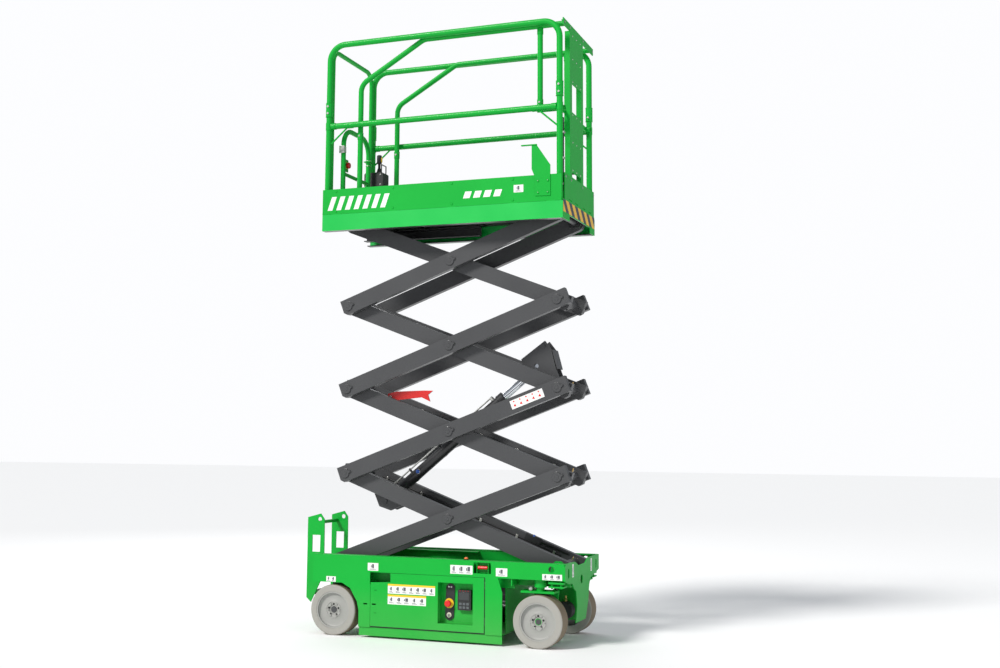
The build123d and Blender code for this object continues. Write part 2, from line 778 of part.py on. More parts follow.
# ---------------------------------------------------------------- batteries and hydraulic power unit
pan_top = bay_floor + plate
with BuildPart() as battery_left:
    block((-390, -130), (-180, 250), (pan_top, 318))
    fillet(battery_left.edges().filter_by(Axis.Z), 12)
with BuildPart() as battery_right:
    block((-120, 60), (-180, 250), (pan_top, 318))
    fillet(battery_right.edges().filter_by(Axis.Z), 12)
save("battery_pack", battery_left.part, battery_right.part)

with BuildPart() as hydraulic_tank:
    block((120, 440), (120, 270), (pan_top, 300))
    fillet(hydraulic_tank.edges().filter_by(Axis.Z), 18)
    upright(400, 195, (300, 326), 16)
with BuildPart() as pump_motor:
    long_bar(20, 170, (130, 330), 62)
    long_bar(20, 170, (330, 420), 44)
with BuildPart() as motor_cradle:
    block((200, 260), (-40, 80), (pan_top, 104))
    long_bar(20, 170, (130, 330), 62.0, Mode.SUBTRACT)
save("power_unit", hydraulic_tank.part, pump_motor.part, motor_cradle.part)

# ---------------------------------------------------------------- rear axle
hub_recess = 19.0
bracket_y = (half_width - wheel_width - 24, half_width - wheel_width - 12)
axle_pieces = []
for side, span in zip((-1, 1), both_sides(bracket_y)):
    with BuildPart() as hanger_plate:
        side_plate(
            [
                (rear_wheel_x - 70, beam_low + 10),
                (rear_wheel_x + 110, beam_low + 10),
                (rear_wheel_x + 50, 100),
                (rear_wheel_x - 50, 100),
            ],
            span,
        )
        stub = tuple(sorted((side * bracket_y[1], side * (half_width - hub_recess))))
        cross_bar(rear_wheel_x, wheel_radius, stub, axle_radius)
    axle_pieces.append(hanger_plate.part)
with BuildPart() as axle_tube:
    cross_bar(rear_wheel_x, wheel_radius, (-bracket_y[0], bracket_y[0]), 30)
axle_pieces.append(axle_tube.part)
save("rear_axle", *axle_pieces)

# ---------------------------------------------------------------- steering knuckles and tie rod
yoke_z = (313.0, 325.0)
tie_z = 334.0
tie_half = 7.0
tie_rod_radius = 6.0
tie_pin_radius = 8.0
tie_x = front_wheel_x - tie_pin_back
knuckle_y = (half_width - wheel_width - 20, half_width - wheel_width - 8)
for side, side_name in ((-1, "near"), (1, "far")):
    web = tuple(sorted((side * knuckle_y[0], side * knuckle_y[1])))
    with BuildPart() as knuckle:
        top = tuple(sorted((side * knuckle_y[0], side * 345)))
        block((front_wheel_x - 112, front_wheel_x + 92), top, yoke_z)
        side_plate(
            [
                (front_wheel_x - 60, yoke_z[0]),
                (front_wheel_x + 92, yoke_z[0]),
                (front_wheel_x + 60, 90),
                (front_wheel_x - 60, 90),
            ],
            web,
        )
        upright(front_wheel_x, side * kingpin_y, (yoke_z[1], housing_z[1] - 4), kingpin_radius)
        upright(front_wheel_x, side * kingpin_y, (yoke_z[1], housing_z[0] - rub_gap), 24)
        stub = tuple(sorted((side * knuckle_y[1], side * (half_width - hub_recess))))
        cross_bar(front_wheel_x, wheel_radius, stub, axle_radius)
        upright(tie_x, side * kingpin_y, (yoke_z[1], tie_z + tie_half + 1), tie_pin_radius)
    with BuildPart() as drive_motor:
        hub = tuple(sorted((side * (knuckle_y[0] - 62), side * knuckle_y[0])))
        cross_bar(front_wheel_x, wheel_radius, hub, 52)
        fillet(drive_motor.edges().filter_by(GeomType.CIRCLE), 6)
    save(f"steering_knuckle_{side_name}", knuckle.part)
    save(f"drive_motor_{side_name}", drive_motor.part)

with BuildPart() as tie_rod:
    cross_bar(tie_x, tie_z, (-kingpin_y + 14, kingpin_y - 14), tie_rod_radius)
    for end in (-kingpin_y, kingpin_y):
        upright(tie_x, end, (tie_z - tie_half, tie_z + tie_half), 16)
        upright(tie_x, end, (tie_z - tie_half, tie_z + tie_half), tie_pin_radius + running_fit, Mode.SUBTRACT)
save("tie_rod", tie_rod.part)

# ---------------------------------------------------------------- wheels


def wheel_parts(x, side):
    """The pressed rim with its bolts, and the solid tyre bonded round it."""
    inner_face = half_width - wheel_width
    plane = Plane((x, 0, wheel_radius), x_dir=(1, 0, 0), z_dir=(0, side, 0))
    with BuildPart() as rim:
        with BuildSketch(plane.offset(inner_face)):
            Circle(rim_radius)
            Circle(rim_radius - 9, mode=Mode.SUBTRACT)
        extrude(amount=wheel_width - 2)
        with BuildSketch(plane.offset(half_width - 34)):
            Circle(rim_radius - 9)
        extrude(amount=12)
        with BuildSketch(plane.offset(inner_face + 4)):
            Circle(48)
        extrude(amount=wheel_width - 18)
        with BuildSketch(plane.offset(inner_face)):
            Circle(axle_radius + running_fit)
        extrude(amount=wheel_width, mode=Mode.SUBTRACT)
        with BuildSketch(plane.offset(half_width - hub_recess)):
            Circle(30)
        extrude(amount=hub_recess, mode=Mode.SUBTRACT)
    with BuildPart() as tyre:
        with BuildSketch(plane.offset(inner_face)):
            Circle(wheel_radius)
            Circle(rim_radius, mode=Mode.SUBTRACT)
        extrude(amount=wheel_width)
        fillet(tyre.edges().filter_by(GeomType.CIRCLE).sort_by(SortBy.RADIUS)[-2:], 10)
    with BuildPart() as bolts:
        with BuildSketch(plane.offset(half_width - 14)):
            with PolarLocations(39, 6):
                RegularPolygon(5.5, 6)
        extrude(amount=6)
    return rim.part, tyre.part, bolts.part


for x, end_name in ((rear_wheel_x, "rear"), (front_wheel_x, "front")):
    for side, side_name in ((-1, "near"), (1, "far")):
        rim, tyre, bolts = wheel_parts(x, side)
        save(f"wheel_rim_{end_name}_{side_name}", rim, *bolts.solids())
        save(f"tyre_{end_name}_{side_name}", tyre)

# ---------------------------------------------------------------- platform deck
deck_top = deck_z + deck_rise
deck_low = deck_z - deck_drop
web_y = (platform_half - plate, platform_half)
floor_z = (deck_z + arm_depth / 2 + floor_gap, deck_z + arm_depth / 2 + floor_gap + floor_plate)
extension_z = (floor_z[1] + 1.0, floor_z[1] + 1.0 + floor_plate)
beam_front = platform_front - 2 * plate
deck_pieces = []
for side in (-1, 1):
    web = tuple(sorted((side * web_y[0], side * web_y[1])))
    lip = tuple(sorted((side * (web_y[0] - 45), side * web_y[0])))
    with BuildPart() as side_beam:
        block((platform_rear, platform_front), web, (deck_low, deck_top))
        block((platform_rear, beam_front), lip, (deck_low, deck_low + plate))
    with BuildPart() as floor_ledge:
        block((platform_rear, beam_front), lip, (deck_top - plate, floor_z[0]))
    channel_span = tuple(sorted((side * track_span[0], side * track_span[1])))
    ear = tuple(sorted((side * (inner_arm_y + 16), side * (inner_arm_y + 36))))
    with BuildPart() as deck_ear:
        side_plate(
            [
                (fixed_x - 60, floor_z[0]),
                (fixed_x - 34, deck_z - 34),
                (fixed_x + 34, deck_z - 34),
                (fixed_x + 60, floor_z[0]),
            ],
            ear,
        )
        cross_bar(fixed_x, deck_z, ear, pin_radius + running_fit, Mode.SUBTRACT)
    deck_pieces += [
        side_beam.part,
        floor_ledge.part,
        deck_ear.part,
        track(channel_span, deck_z, (platform_rear + plate, chassis_track_x[1])),
    ]
track_high = deck_z + block_half + rub_gap + plate
for cross_x in (platform_rear, -310.0, 130.0):
    with BuildPart() as cross_beam:
        block((cross_x, cross_x + plate), (45 - web_y[0], web_y[0] - 45), (track_high, floor_z[0]))
        for arm_span in both_sides((inner_arm_y - 4, inner_arm_y + arm_width + 4)):
            block((cross_x, cross_x + plate), arm_span, (track_high, floor_z[0]), Mode.SUBTRACT)
    deck_pieces += cross_beam.part.solids()
save("deck_frame", *deck_pieces)

with BuildPart() as deck_floor:
    block((platform_rear, beam_front), (-web_y[0], web_y[0]), floor_z)
save("deck_floor", deck_floor.part)

toe_pieces = []
toe_z = (deck_top + 1, deck_top + toe_height)
for span in both_sides(web_y):
    with BuildPart() as toeboard:
        block((platform_rear, platform_front - 8), span, toe_z)
        for foot_x in (-640, -240, 160, 560, 800):
            block((foot_x - 28, foot_x + 28), span, (deck_top, deck_top + 1))
    toe_pieces.append(toeboard.part)
save("toeboards", *toe_pieces)

# ---------------------------------------------------------------- main guard rails
rear_post = platform_rear + 20
front_post = platform_front - 27
rail_top = deck_z + rail_height
mid_top = deck_z + mid_rail_height
collar_z = (deck_z + 740, deck_z + 790)
post_foot = floor_z[1]
rail_pieces = []
for side in (-1, 1):
    y = side * rail_y
    with BuildPart() as loop:
        bent_tube(
            [
                (rear_post, y, collar_z[0]),
                (rear_post, y, rail_top),
                (front_post, y, rail_top),
                (front_post, y, collar_z[0]),
            ],
            rail_bend,
            rail_radius,
            rail_wall,
        )
    rail_pieces.append(loop.part)
    for post_x in (rear_post, front_post):
        with BuildPart() as post:
            upright(post_x, y, (post_foot, collar_z[0]), rail_radius)
            upright(post_x, y, (post_foot, collar_z[0]), rail_radius - rail_wall, Mode.SUBTRACT)
        with BuildPart() as collar:
            upright(post_x, y, (collar_z[0] - 40, collar_z[1]), rail_radius + 4)
            upright(post_x, y, (collar_z[0] - 40, collar_z[1]), rail_radius, Mode.SUBTRACT)
        rail_pieces += [post.part, collar.part]
    mid_reach = (rear_post + rail_radius, front_post - rail_radius)
    with BuildPart() as mid_rail:
        long_bar(y, mid_top, mid_reach, rail_radius)
        long_bar(y, mid_top, mid_reach, rail_radius - rail_wall, Mode.SUBTRACT)
    rail_pieces.append(mid_rail.part)
save("main_rails", *rail_pieces)

# Rear frame across the entry, with the swing gate hung on its far upright
frame_y = (-291.0, 291.0)
frame_radius = 15.0
gate_y = (-247.0, 126.0)
gate_x = rear_post + 65
gate_radius = 16.0
gate_top = deck_z + 640
gate_foot = extension_z[1] + 14
with BuildPart() as entry_frame:
    bent_tube(
        [
            (rear_post, frame_y[0], post_foot),
            (rear_post, frame_y[0], rail_top - 17),
            (rear_post, frame_y[1], rail_top - 17),
            (rear_post, frame_y[1], post_foot),
        ],
        80.0,
        frame_radius,
        rail_wall,
    )
hinge_arms = []
for arm_z in (gate_foot + 120, gate_top - 150):
    with BuildPart() as hinge_arm:
        with BuildSketch(Plane.XY.offset(arm_z)) as arm_face:
            with BuildLine():
                Polyline(
                    (rear_post - 10, frame_y[1] - 10),
                    (rear_post + 10, frame_y[1] - 13),
                    (gate_x + 24, gate_y[1] + 20),
                    (gate_x + 24, gate_y[1] - 24),
                    (gate_x - 24, gate_y[1] - 24),
                    (gate_x - 24, gate_y[1] + 20),
                    close=True,
                )
            make_face()
            with Locations((gate_x, gate_y[1])):
                Circle(gate_radius + running_fit, mode=Mode.SUBTRACT)
            with Locations((rear_post, frame_y[1])):
                Circle(frame_radius, mode=Mode.SUBTRACT)
        extrude(arm_face.sketch, amount=plate)
    hinge_arms.append(hinge_arm.part)
save("entry_frame", entry_frame.part, *hinge_arms)

with BuildPart() as gate_hoop:
    bent_tube(
        [
            (gate_x, gate_y[0], gate_foot),
            (gate_x, gate_y[0], gate_top),
            (gate_x, gate_y[1], gate_top),
            (gate_x, gate_y[1], gate_foot),
        ],
        110.0,
        gate_radius,
        rail_wall,
    )
with BuildPart() as gate_bar:
    cross_bar(gate_x, deck_z + 340, (gate_y[0] + gate_radius, gate_y[1] - gate_radius), 12)
stop_plate_x = (gate_x - 4, gate_x + 4)
stop_plate_y = (gate_y[0] + gate_radius, gate_y[0] + gate_radius + 50)
stop_plate_z = (deck_z + 360, deck_z + 440)
platform_stop_y = sum(stop_plate_y) / 2
platform_stop_z = sum(stop_plate_z) / 2
with BuildPart() as stop_plate:
    block(stop_plate_x, stop_plate_y, stop_plate_z)
    long_bar(platform_stop_y, platform_stop_z, stop_plate_x, stop_stem + 0.5, Mode.SUBTRACT)
save("swing_gate", gate_hoop.part, gate_bar.part, stop_plate.part)

with BuildPart() as platform_stop:
    long_bar(platform_stop_y, platform_stop_z, (gate_x - 2, stop_plate_x[1] + stop_travel + 4), stop_stem)
    long_bar(platform_stop_y, platform_stop_z, (stop_plate_x[1] + stop_travel + 4, gate_x + 28), 20)
    fillet(platform_stop.edges().filter_by(GeomType.CIRCLE).sort_by(Axis.X)[-1], 6)
save("platform_stop_button", platform_stop.part)

# ---------------------------------------------------------------- platform controls
box_x = (-700.0, -560.0)
box_y = (168.0, 262.0)
box_z = (deck_z + 330, deck_z + 430)
middle_y = sum(box_y) / 2
stick_x = box_x[1] - 50
stick_z = box_z[1] + 4
with BuildPart() as control_box:
    block(box_x, box_y, box_z)
    fillet(control_box.edges().filter_by(Axis.Y), 14)
hook_y = (box_y[1], rail_y - rail_radius - 4)
with BuildPart() as box_hook:
    block((box_x[1] - 50, box_x[1] - 20), hook_y, (box_z[0] + 20, box_z[0] + 26))
save("control_box", control_box.part, box_hook.part)

with BuildPart() as joystick:
    upright(stick_x, middle_y, (stick_z, stick_z + 90), 9)
    upright(stick_x, middle_y, (stick_z + 65, stick_z + 125), 17)
    fillet(joystick.edges().filter_by(GeomType.CIRCLE).sort_by(Axis.Z)[-1], 8)
save("joystick", joystick.part)

# ---------------------------------------------------------------- slide-out deck extension
inner_radius = 17.0
extension_x = (-560.0, platform_front - plate)
extension_half = 308.0
tread_half = inner_rail_y - inner_radius - 2
extension_sheets = []
with BuildPart() as tread_sheet:
    block(extension_x, (-tread_half, tread_half), extension_z)
extension_sheets.append(tread_sheet.part)
for strip_y in both_sides((tread_half, extension_half)):
    with BuildPart() as side_strip:
        block(extension_x, strip_y, extension_z)
    extension_sheets.append(side_strip.part)
lip_x = (platform_front - 10, extension_x[1])
with BuildPart() as nose_lip:
    block(lip_x, (-extension_half, extension_half), (deck_z - 19, extension_z[0]))
save("extension_deck", *extension_sheets, nose_lip.part)

inner_post = -511.0
inner_front = platform_front - 24
hanger_x = 711.0
end_x = (platform_front - plate, platform_front)
slope_start = deck_z + 870
slope_end = deck_z + 1168
inner_pieces = []
for side in (-1, 1):
    y = side * inner_rail_y
    with BuildPart() as inner_loop:
        bent_tube(
            [
                (inner_post, y, extension_z[1]),
                (inner_post, y, slope_start + 40),
                (inner_post + 440, y, slope_end),
                (inner_front, y, slope_end),
            ],
            85.0,
            inner_radius,
            rail_wall,
        )
    mid_reach = (hanger_x - inner_radius, end_x[0])
    with BuildPart() as inner_mid:
        long_bar(y, mid_top, mid_reach, inner_radius)
        long_bar(y, mid_top, mid_reach, inner_radius - rail_wall, Mode.SUBTRACT)
    hanger_z = (mid_top + inner_radius, slope_end - inner_radius)
    with BuildPart() as inner_upright:
        upright(hanger_x, y, hanger_z, inner_radius)
        upright(hanger_x, y, hanger_z, inner_radius - rail_wall, Mode.SUBTRACT)
    inner_pieces += [inner_loop.part, inner_upright.part, inner_mid.part]
save("extension_rails", *inner_pieces)

# End of the extension: toe panel, two channel posts, infill panels and the top angle
toe_end = (deck_top + 14, deck_top + 179)
front_pieces = []
with BuildPart() as end_toe:
    block(end_x, (-315, 345), toe_end)
    for slot_y in (-200, -60, 100, 240):
        block(end_x, (slot_y - 30, slot_y + 30), (toe_end[0] + 8, toe_end[0] + 16), Mode.SUBTRACT)
with BuildPart() as stripe_beam:
    block(end_x, (-350, 352), (deck_z - 19, toe_end[0]))
for tab in ((-350, -214), (254, 352)):
    with BuildPart() as stripe_tab:
        block(end_x, tab, (deck_low, deck_z - 19))
    front_pieces.append(stripe_tab.part)
bar_half = inner_rail_y - inner_radius
with BuildPart() as mid_cross_bar:
    block((end_x[0] - 32, end_x[0] - 26), (-bar_half, bar_half), (mid_top - 15, mid_top + 15))
front_pieces.append(mid_cross_bar.part)
with BuildPart() as top_angle_bar:
    block((inner_front, end_x[0]), (-302, 302), (slope_end + inner_radius, slope_end + 22))
    block(end_x, (-338, 338), (slope_end - 22, slope_end + 22))
front_pieces += [end_toe.part, stripe_beam.part, top_angle_bar.part]
for post_y in (-180.0, 70.0):
    with BuildPart() as channel_post:
        block(end_x, (post_y - 25, post_y + 25), (toe_end[1], slope_end - 22))
        block((end_x[0] - 26, end_x[0]), (post_y - 25, post_y - 21), (toe_end[1] - 60, slope_end - 22))
        block((end_x[0] - 26, end_x[0]), (post_y + 21, post_y + 25), (toe_end[1] - 60, slope_end - 22))
    front_pieces.append(channel_post.part)
with BuildPart() as infill_panels:
    block(end_x, (-155, 45), (deck_z + 820, slope_end - 22))
    block(end_x, (-155, 45), (deck_z + 260, deck_z + 640))
front_pieces.append(infill_panels.part)
for rail_side in (-1, 1):
    with BuildPart() as rail_end:
        long_bar(rail_side * inner_rail_y, slope_end, (inner_front, end_x[0]), inner_radius)
    front_pieces.append(rail_end.part)
save("extension_front", *front_pieces)

# Power outlet box and the corrugated conduit that rises beside the near corner
with BuildPart() as outlet_box:
    block((end_x[0] - 72, end_x[0] - 26.5), (-22, 62), (deck_z + 290, deck_z + 420))
    fillet(outlet_box.edges().filter_by(Axis.X), 10)
with BuildPart() as conduit:
    upright(end_x[0] - 13, -301, (extension_z[1], deck_z + 572), 10)
save("outlet_and_conduit", outlet_box.part, conduit.part)

# Bracket bolted to the near toeboard
bracket_face = (-web_y[1] - 5, -web_y[1])
with BuildPart() as tool_bracket:
    side_plate(
        [
            (705, deck_z + 85),
            (800, deck_z + 82),
            (800, deck_z + 270),
            (714, deck_z + 397),
            (682, deck_z + 403),
            (682, deck_z + 250),
            (705, deck_z + 194),
        ],
        bracket_face,
    )
    block((615, 714), (bracket_face[0] - 4, bracket_face[1] + 7), (deck_z + 397, deck_z + 403))
    for bolt_x in (722, 784):
        for bolt_z in (deck_z + 104, deck_z + 176):
            cross_bar(bolt_x, bolt_z, (bracket_face[0] - 4.5, bracket_face[0]), 7)
save("tool_bracket", tool_bracket.part)
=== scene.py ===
import json
from math import atan2, cos, pi, radians, sin, sqrt

import bmesh
import bpy
from mathutils import Matrix, Vector


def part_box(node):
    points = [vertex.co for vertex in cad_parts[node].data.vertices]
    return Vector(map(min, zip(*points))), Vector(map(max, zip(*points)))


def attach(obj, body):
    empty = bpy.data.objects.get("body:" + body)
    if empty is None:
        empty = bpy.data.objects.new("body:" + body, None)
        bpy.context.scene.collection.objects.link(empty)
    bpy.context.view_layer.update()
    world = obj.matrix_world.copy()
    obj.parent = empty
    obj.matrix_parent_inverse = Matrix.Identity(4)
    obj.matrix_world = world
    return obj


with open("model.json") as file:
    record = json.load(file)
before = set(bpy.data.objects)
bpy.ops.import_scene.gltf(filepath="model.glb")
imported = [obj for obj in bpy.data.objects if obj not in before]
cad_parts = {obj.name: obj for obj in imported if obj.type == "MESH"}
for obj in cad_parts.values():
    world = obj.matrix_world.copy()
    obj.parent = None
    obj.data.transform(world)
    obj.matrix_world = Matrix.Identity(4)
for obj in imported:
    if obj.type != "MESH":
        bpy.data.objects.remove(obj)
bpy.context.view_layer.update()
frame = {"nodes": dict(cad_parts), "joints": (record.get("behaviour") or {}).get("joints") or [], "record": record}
nodes = frame["nodes"]
joints = {joint["name"]: joint for joint in frame["joints"]}


# ---------------------------------------------------------------- paint and surface materials
# Powder coat has a faint orange-peel texture and slow changes of gloss. One group gives both, so
# that every painted part is of the same family.
def finish_group():
    group = bpy.data.node_groups.new("coat_texture", "ShaderNodeTree")
    group.interface.new_socket("Peel", in_out="INPUT", socket_type="NodeSocketFloat")
    group.interface.new_socket("Patch", in_out="OUTPUT", socket_type="NodeSocketFloat")
    group.interface.new_socket("Normal", in_out="OUTPUT", socket_type="NodeSocketVector")
    links = group.links
    entry = group.nodes.new("NodeGroupInput")
    exit_node = group.nodes.new("NodeGroupOutput")
    place = group.nodes.new("ShaderNodeTexCoord")
    broad = group.nodes.new("ShaderNodeTexNoise")
    broad.inputs["Scale"].default_value = 3.5
    broad.inputs["Detail"].default_value = 5.0
    fine = group.nodes.new("ShaderNodeTexNoise")
    fine.inputs["Scale"].default_value = 420.0
    fine.inputs["Detail"].default_value = 2.0
    bump = group.nodes.new("ShaderNodeBump")
    bump.inputs["Distance"].default_value = 0.0006
    links.new(place.outputs["Object"], broad.inputs["Vector"])
    links.new(place.outputs["Object"], fine.inputs["Vector"])
    links.new(entry.outputs["Peel"], bump.inputs["Strength"])
    links.new(fine.outputs["Fac"], bump.inputs["Height"])
    links.new(broad.outputs["Fac"], exit_node.inputs["Patch"])
    links.new(bump.outputs["Normal"], exit_node.inputs["Normal"])
    return group


coat_texture = finish_group()


def surface(name, colour, rough, metal=0.0, coat=0.0, peel=0.1, spread=0.12, dust=0.0):
    """A material whose gloss and tone drift a little over the part, with dust low down if asked."""
    made = bpy.data.materials.new(name)
    made.use_nodes = True
    tree = made.node_tree
    shader = tree.nodes["Principled BSDF"]
    shader.inputs["Metallic"].default_value = metal
    shader.inputs["Coat Weight"].default_value = coat
    shader.inputs["Coat Roughness"].default_value = 0.12
    texture = tree.nodes.new("ShaderNodeGroup")
    texture.node_tree = coat_texture
    texture.inputs["Peel"].default_value = peel
    gloss = tree.nodes.new("ShaderNodeMapRange")
    gloss.inputs["To Min"].default_value = max(rough - spread, 0.03)
    gloss.inputs["To Max"].default_value = rough + spread
    tone = tree.nodes.new("ShaderNodeMix")
    tone.data_type = "RGBA"
    tone.inputs["A"].default_value = (*[v * 0.90 for v in colour], 1)
    tone.inputs["B"].default_value = (*[min(v * 1.08, 1) for v in colour], 1)
    tree.links.new(texture.outputs["Patch"], gloss.inputs["Value"])
    tree.links.new(texture.outputs["Patch"], tone.inputs["Factor"])
    tree.links.new(gloss.outputs["Result"], shader.inputs["Roughness"])
    tree.links.new(texture.outputs["Normal"], shader.inputs["Normal"])
    paint = tone.outputs["Result"]
    if dust:
        place = tree.nodes.new("ShaderNodeTexCoord")
        split = tree.nodes.new("ShaderNodeSeparateXYZ")
        low = tree.nodes.new("ShaderNodeMapRange")
        low.inputs["From Min"].default_value = 0.02
        low.inputs["From Max"].default_value = 0.30
        low.inputs["To Min"].default_value = dust
        low.inputs["To Max"].default_value = 0.0
        patchy = tree.nodes.new("ShaderNodeMath")
        patchy.operation = "MULTIPLY"
        dusty = tree.nodes.new("ShaderNodeMix")
        dusty.data_type = "RGBA"
        dusty.inputs["B"].default_value = (0.33, 0.28, 0.20, 1)
        tree.links.new(place.outputs["Object"], split.inputs["Vector"])
        tree.links.new(split.outputs["Z"], low.inputs["Value"])
        tree.links.new(low.outputs["Result"], patchy.inputs[0])
        tree.links.new(texture.outputs["Patch"], patchy.inputs[1])
        tree.links.new(patchy.outputs["Value"], dusty.inputs["Factor"])
        tree.links.new(paint, dusty.inputs["A"])
        paint = dusty.outputs["Result"]
    tree.links.new(paint, shader.inputs["Base Color"])
    return made


green = surface("green_paint", (0.0, 0.39, 0.034), 0.46, coat=0.08, dust=0.22)
green.node_tree.nodes["Principled BSDF"].inputs["Specular IOR Level"].default_value = 0.22
dark = surface("dark_paint", (0.050, 0.051, 0.054), 0.44, coat=0.12, peel=0.16)
black = surface("black_paint", (0.016, 0.016, 0.018), 0.38, coat=0.15)
red = surface("red_paint", (0.62, 0.014, 0.012), 0.36, coat=0.3)
zinc = surface("zinc_steel", (0.60, 0.60, 0.57), 0.34, metal=1.0, peel=0.08)
chrome = surface("chrome_rod", (0.80, 0.83, 0.88), 0.09, metal=1.0, peel=0.0, spread=0.03)
black_plastic = surface("black_plastic", (0.018, 0.018, 0.020), 0.55, peel=0.5)
red_plastic = surface("red_plastic", (0.66, 0.010, 0.010), 0.28, peel=0.05)
nylon = surface("wear_block", (0.50, 0.47, 0.40), 0.6, peel=0.3)
rim_grey = surface("rim_paint", (0.33, 0.33, 0.31), 0.46, peel=0.2)


# The tyres are solid, non-marking rubber: pale sides, and a tread browned by the floor.
def tyre_material():
    made = surface("tyre_rubber", (0.34, 0.33, 0.30), 0.78, peel=0.6)
    tree = made.node_tree
    shader = tree.nodes["Principled BSDF"]
    side = shader.inputs["Base Color"].links[0].from_socket
    place = tree.nodes.new("ShaderNodeTexCoord")
    split = tree.nodes.new("ShaderNodeSeparateXYZ")
    facing = tree.nodes.new("ShaderNodeMath")
    facing.operation = "ABSOLUTE"
    edge = tree.nodes.new("ShaderNodeMapRange")
    edge.inputs["From Min"].default_value = 0.35
    edge.inputs["From Max"].default_value = 0.75
    edge.inputs["To Min"].default_value = 1.0
    edge.inputs["To Max"].default_value = 0.0
    worn = tree.nodes.new("ShaderNodeMix")
    worn.data_type = "RGBA"
    worn.inputs["B"].default_value = (0.21, 0.165, 0.11, 1)
    tree.links.new(place.outputs["Normal"], split.inputs["Vector"])
    tree.links.new(split.outputs["Y"], facing.inputs[0])
    tree.links.new(facing.outputs["Value"], edge.inputs["Value"])
    tree.links.new(edge.outputs["Result"], worn.inputs["Factor"])
    tree.links.new(side, worn.inputs["A"])
    tree.links.new(worn.outputs["Result"], shader.inputs["Base Color"])
    return made


# The platform floor is pressed tread plate: rows of raised lozenges that alternate in direction.
def tread_material():
    made = surface("floor_steel", (0.23, 0.24, 0.24), 0.42, metal=0.6, peel=0.1)
    tree = made.node_tree
    shader = tree.nodes["Principled BSDF"]
    place = tree.nodes.new("ShaderNodeTexCoord")
    heights = []
    for turn, shift in ((45, 0.0), (-45, 0.5)):
        mapping = tree.nodes.new("ShaderNodeMapping")
        mapping.inputs["Rotation"].default_value = (0, 0, radians(turn))
        mapping.inputs["Scale"].default_value = (28, 62, 1)
        mapping.inputs["Location"].default_value = (shift, shift, 0)
        cells = tree.nodes.new("ShaderNodeTexVoronoi")
        cells.voronoi_dimensions = "2D"
        cells.inputs["Scale"].default_value = 1.0
        cells.inputs["Randomness"].default_value = 0.0
        lump = tree.nodes.new("ShaderNodeMapRange")
        lump.inputs["From Min"].default_value = 0.20
        lump.inputs["From Max"].default_value = 0.32
        lump.inputs["To Min"].default_value = 1.0
        lump.inputs["To Max"].default_value = 0.0
        tree.links.new(place.outputs["Object"], mapping.inputs["Vector"])
        tree.links.new(mapping.outputs["Vector"], cells.inputs["Vector"])
        tree.links.new(cells.outputs["Distance"], lump.inputs["Value"])
        heights.append(lump.outputs["Result"])
    both = tree.nodes.new("ShaderNodeMath")
    both.operation = "MAXIMUM"
    raised = tree.nodes.new("ShaderNodeBump")
    raised.inputs["Distance"].default_value = 0.002
    raised.inputs["Strength"].default_value = 0.6
    tree.links.new(heights[0], both.inputs[0])
    tree.links.new(heights[1], both.inputs[1])
    tree.links.new(both.outputs["Value"], raised.inputs["Height"])
    tree.links.new(raised.outputs["Normal"], shader.inputs["Normal"])
    return made


# The deck is one weldment, painted green on its outer faces. Between the beams, where its underside lies in shade,
# the colour turns near black: painted shade.
def deck_material():
    made = surface("deck_green_and_painted_shade", (0.0, 0.49, 0.062), 0.36, coat=0.25)
    tree = made.node_tree
    shader = tree.nodes["Principled BSDF"]
    outer = shader.inputs["Base Color"].links[0].from_socket
    place = tree.nodes.new("ShaderNodeTexCoord")
    split = tree.nodes.new("ShaderNodeSeparateXYZ")
    across = tree.nodes.new("ShaderNodeMath")
    across.operation = "ABSOLUTE"
    inside = tree.nodes.new("ShaderNodeMath")
    inside.operation = "LESS_THAN"
    inside.inputs[1].default_value = 0.3535
    painted_underside_shade = tree.nodes.new("ShaderNodeMix")
    painted_underside_shade.data_type = "RGBA"
    # Near black painted shade for the faces between the beams, chosen by their place across the deck.
    painted_underside_shade.inputs["B"].default_value = (0.022, 0.023, 0.024, 1)
    tree.links.new(place.outputs["Object"], split.inputs["Vector"])
    tree.links.new(split.outputs["Y"], across.inputs[0])
    tree.links.new(across.outputs["Value"], inside.inputs[0])
    tree.links.new(inside.outputs["Value"], painted_underside_shade.inputs["Factor"])
    tree.links.new(outer, painted_underside_shade.inputs["A"])
    tree.links.new(painted_underside_shade.outputs["Result"], shader.inputs["Base Color"])
    return made


tyre_rubber = tyre_material()
deck_green_and_painted_shade = deck_material()
tread_plate = tread_material()

# ---------------------------------------------------------------- finishes of the modelled pieces
# Each structural piece keeps its shape and gets its paint, and a small rolled or ground edge that
# catches the light.
by_slot = {
    "green_paint": green,
    "dark_paint": dark,
    "black_paint": black,
    "red_paint": red,
    "zinc_steel": zinc,
    "chrome_rod": chrome,
    "floor_steel": tread_plate,
    "black_plastic": black_plastic,
    "red_plastic": red_plastic,
    "wear_block": nylon,
    "tyre_rubber": tyre_rubber,
    "rim_paint": rim_grey,
}
slots = {entry["node"]: entry["material_slot"] for entry in frame["record"]["subparts"]}
edge_sizes = {"inner_arms": 0.004, "outer_arms": 0.004, "lift_cylinder": 0.0015, "lift_rod": 0.0015}
for name, piece in nodes.items():
    for material_slot in piece.material_slots:
        material_slot.material = deck_green_and_painted_shade if name == "deck_frame" else by_slot[slots[name]]
    edge = piece.modifiers.new("edges", "BEVEL")
    edge.width = next((size for start, size in edge_sizes.items() if name.startswith(start)), 0.0010)
    edge.segments = 2
    edge.limit_method = "ANGLE"
    edge.angle_limit = radians(40)
    edge.harden_normals = True


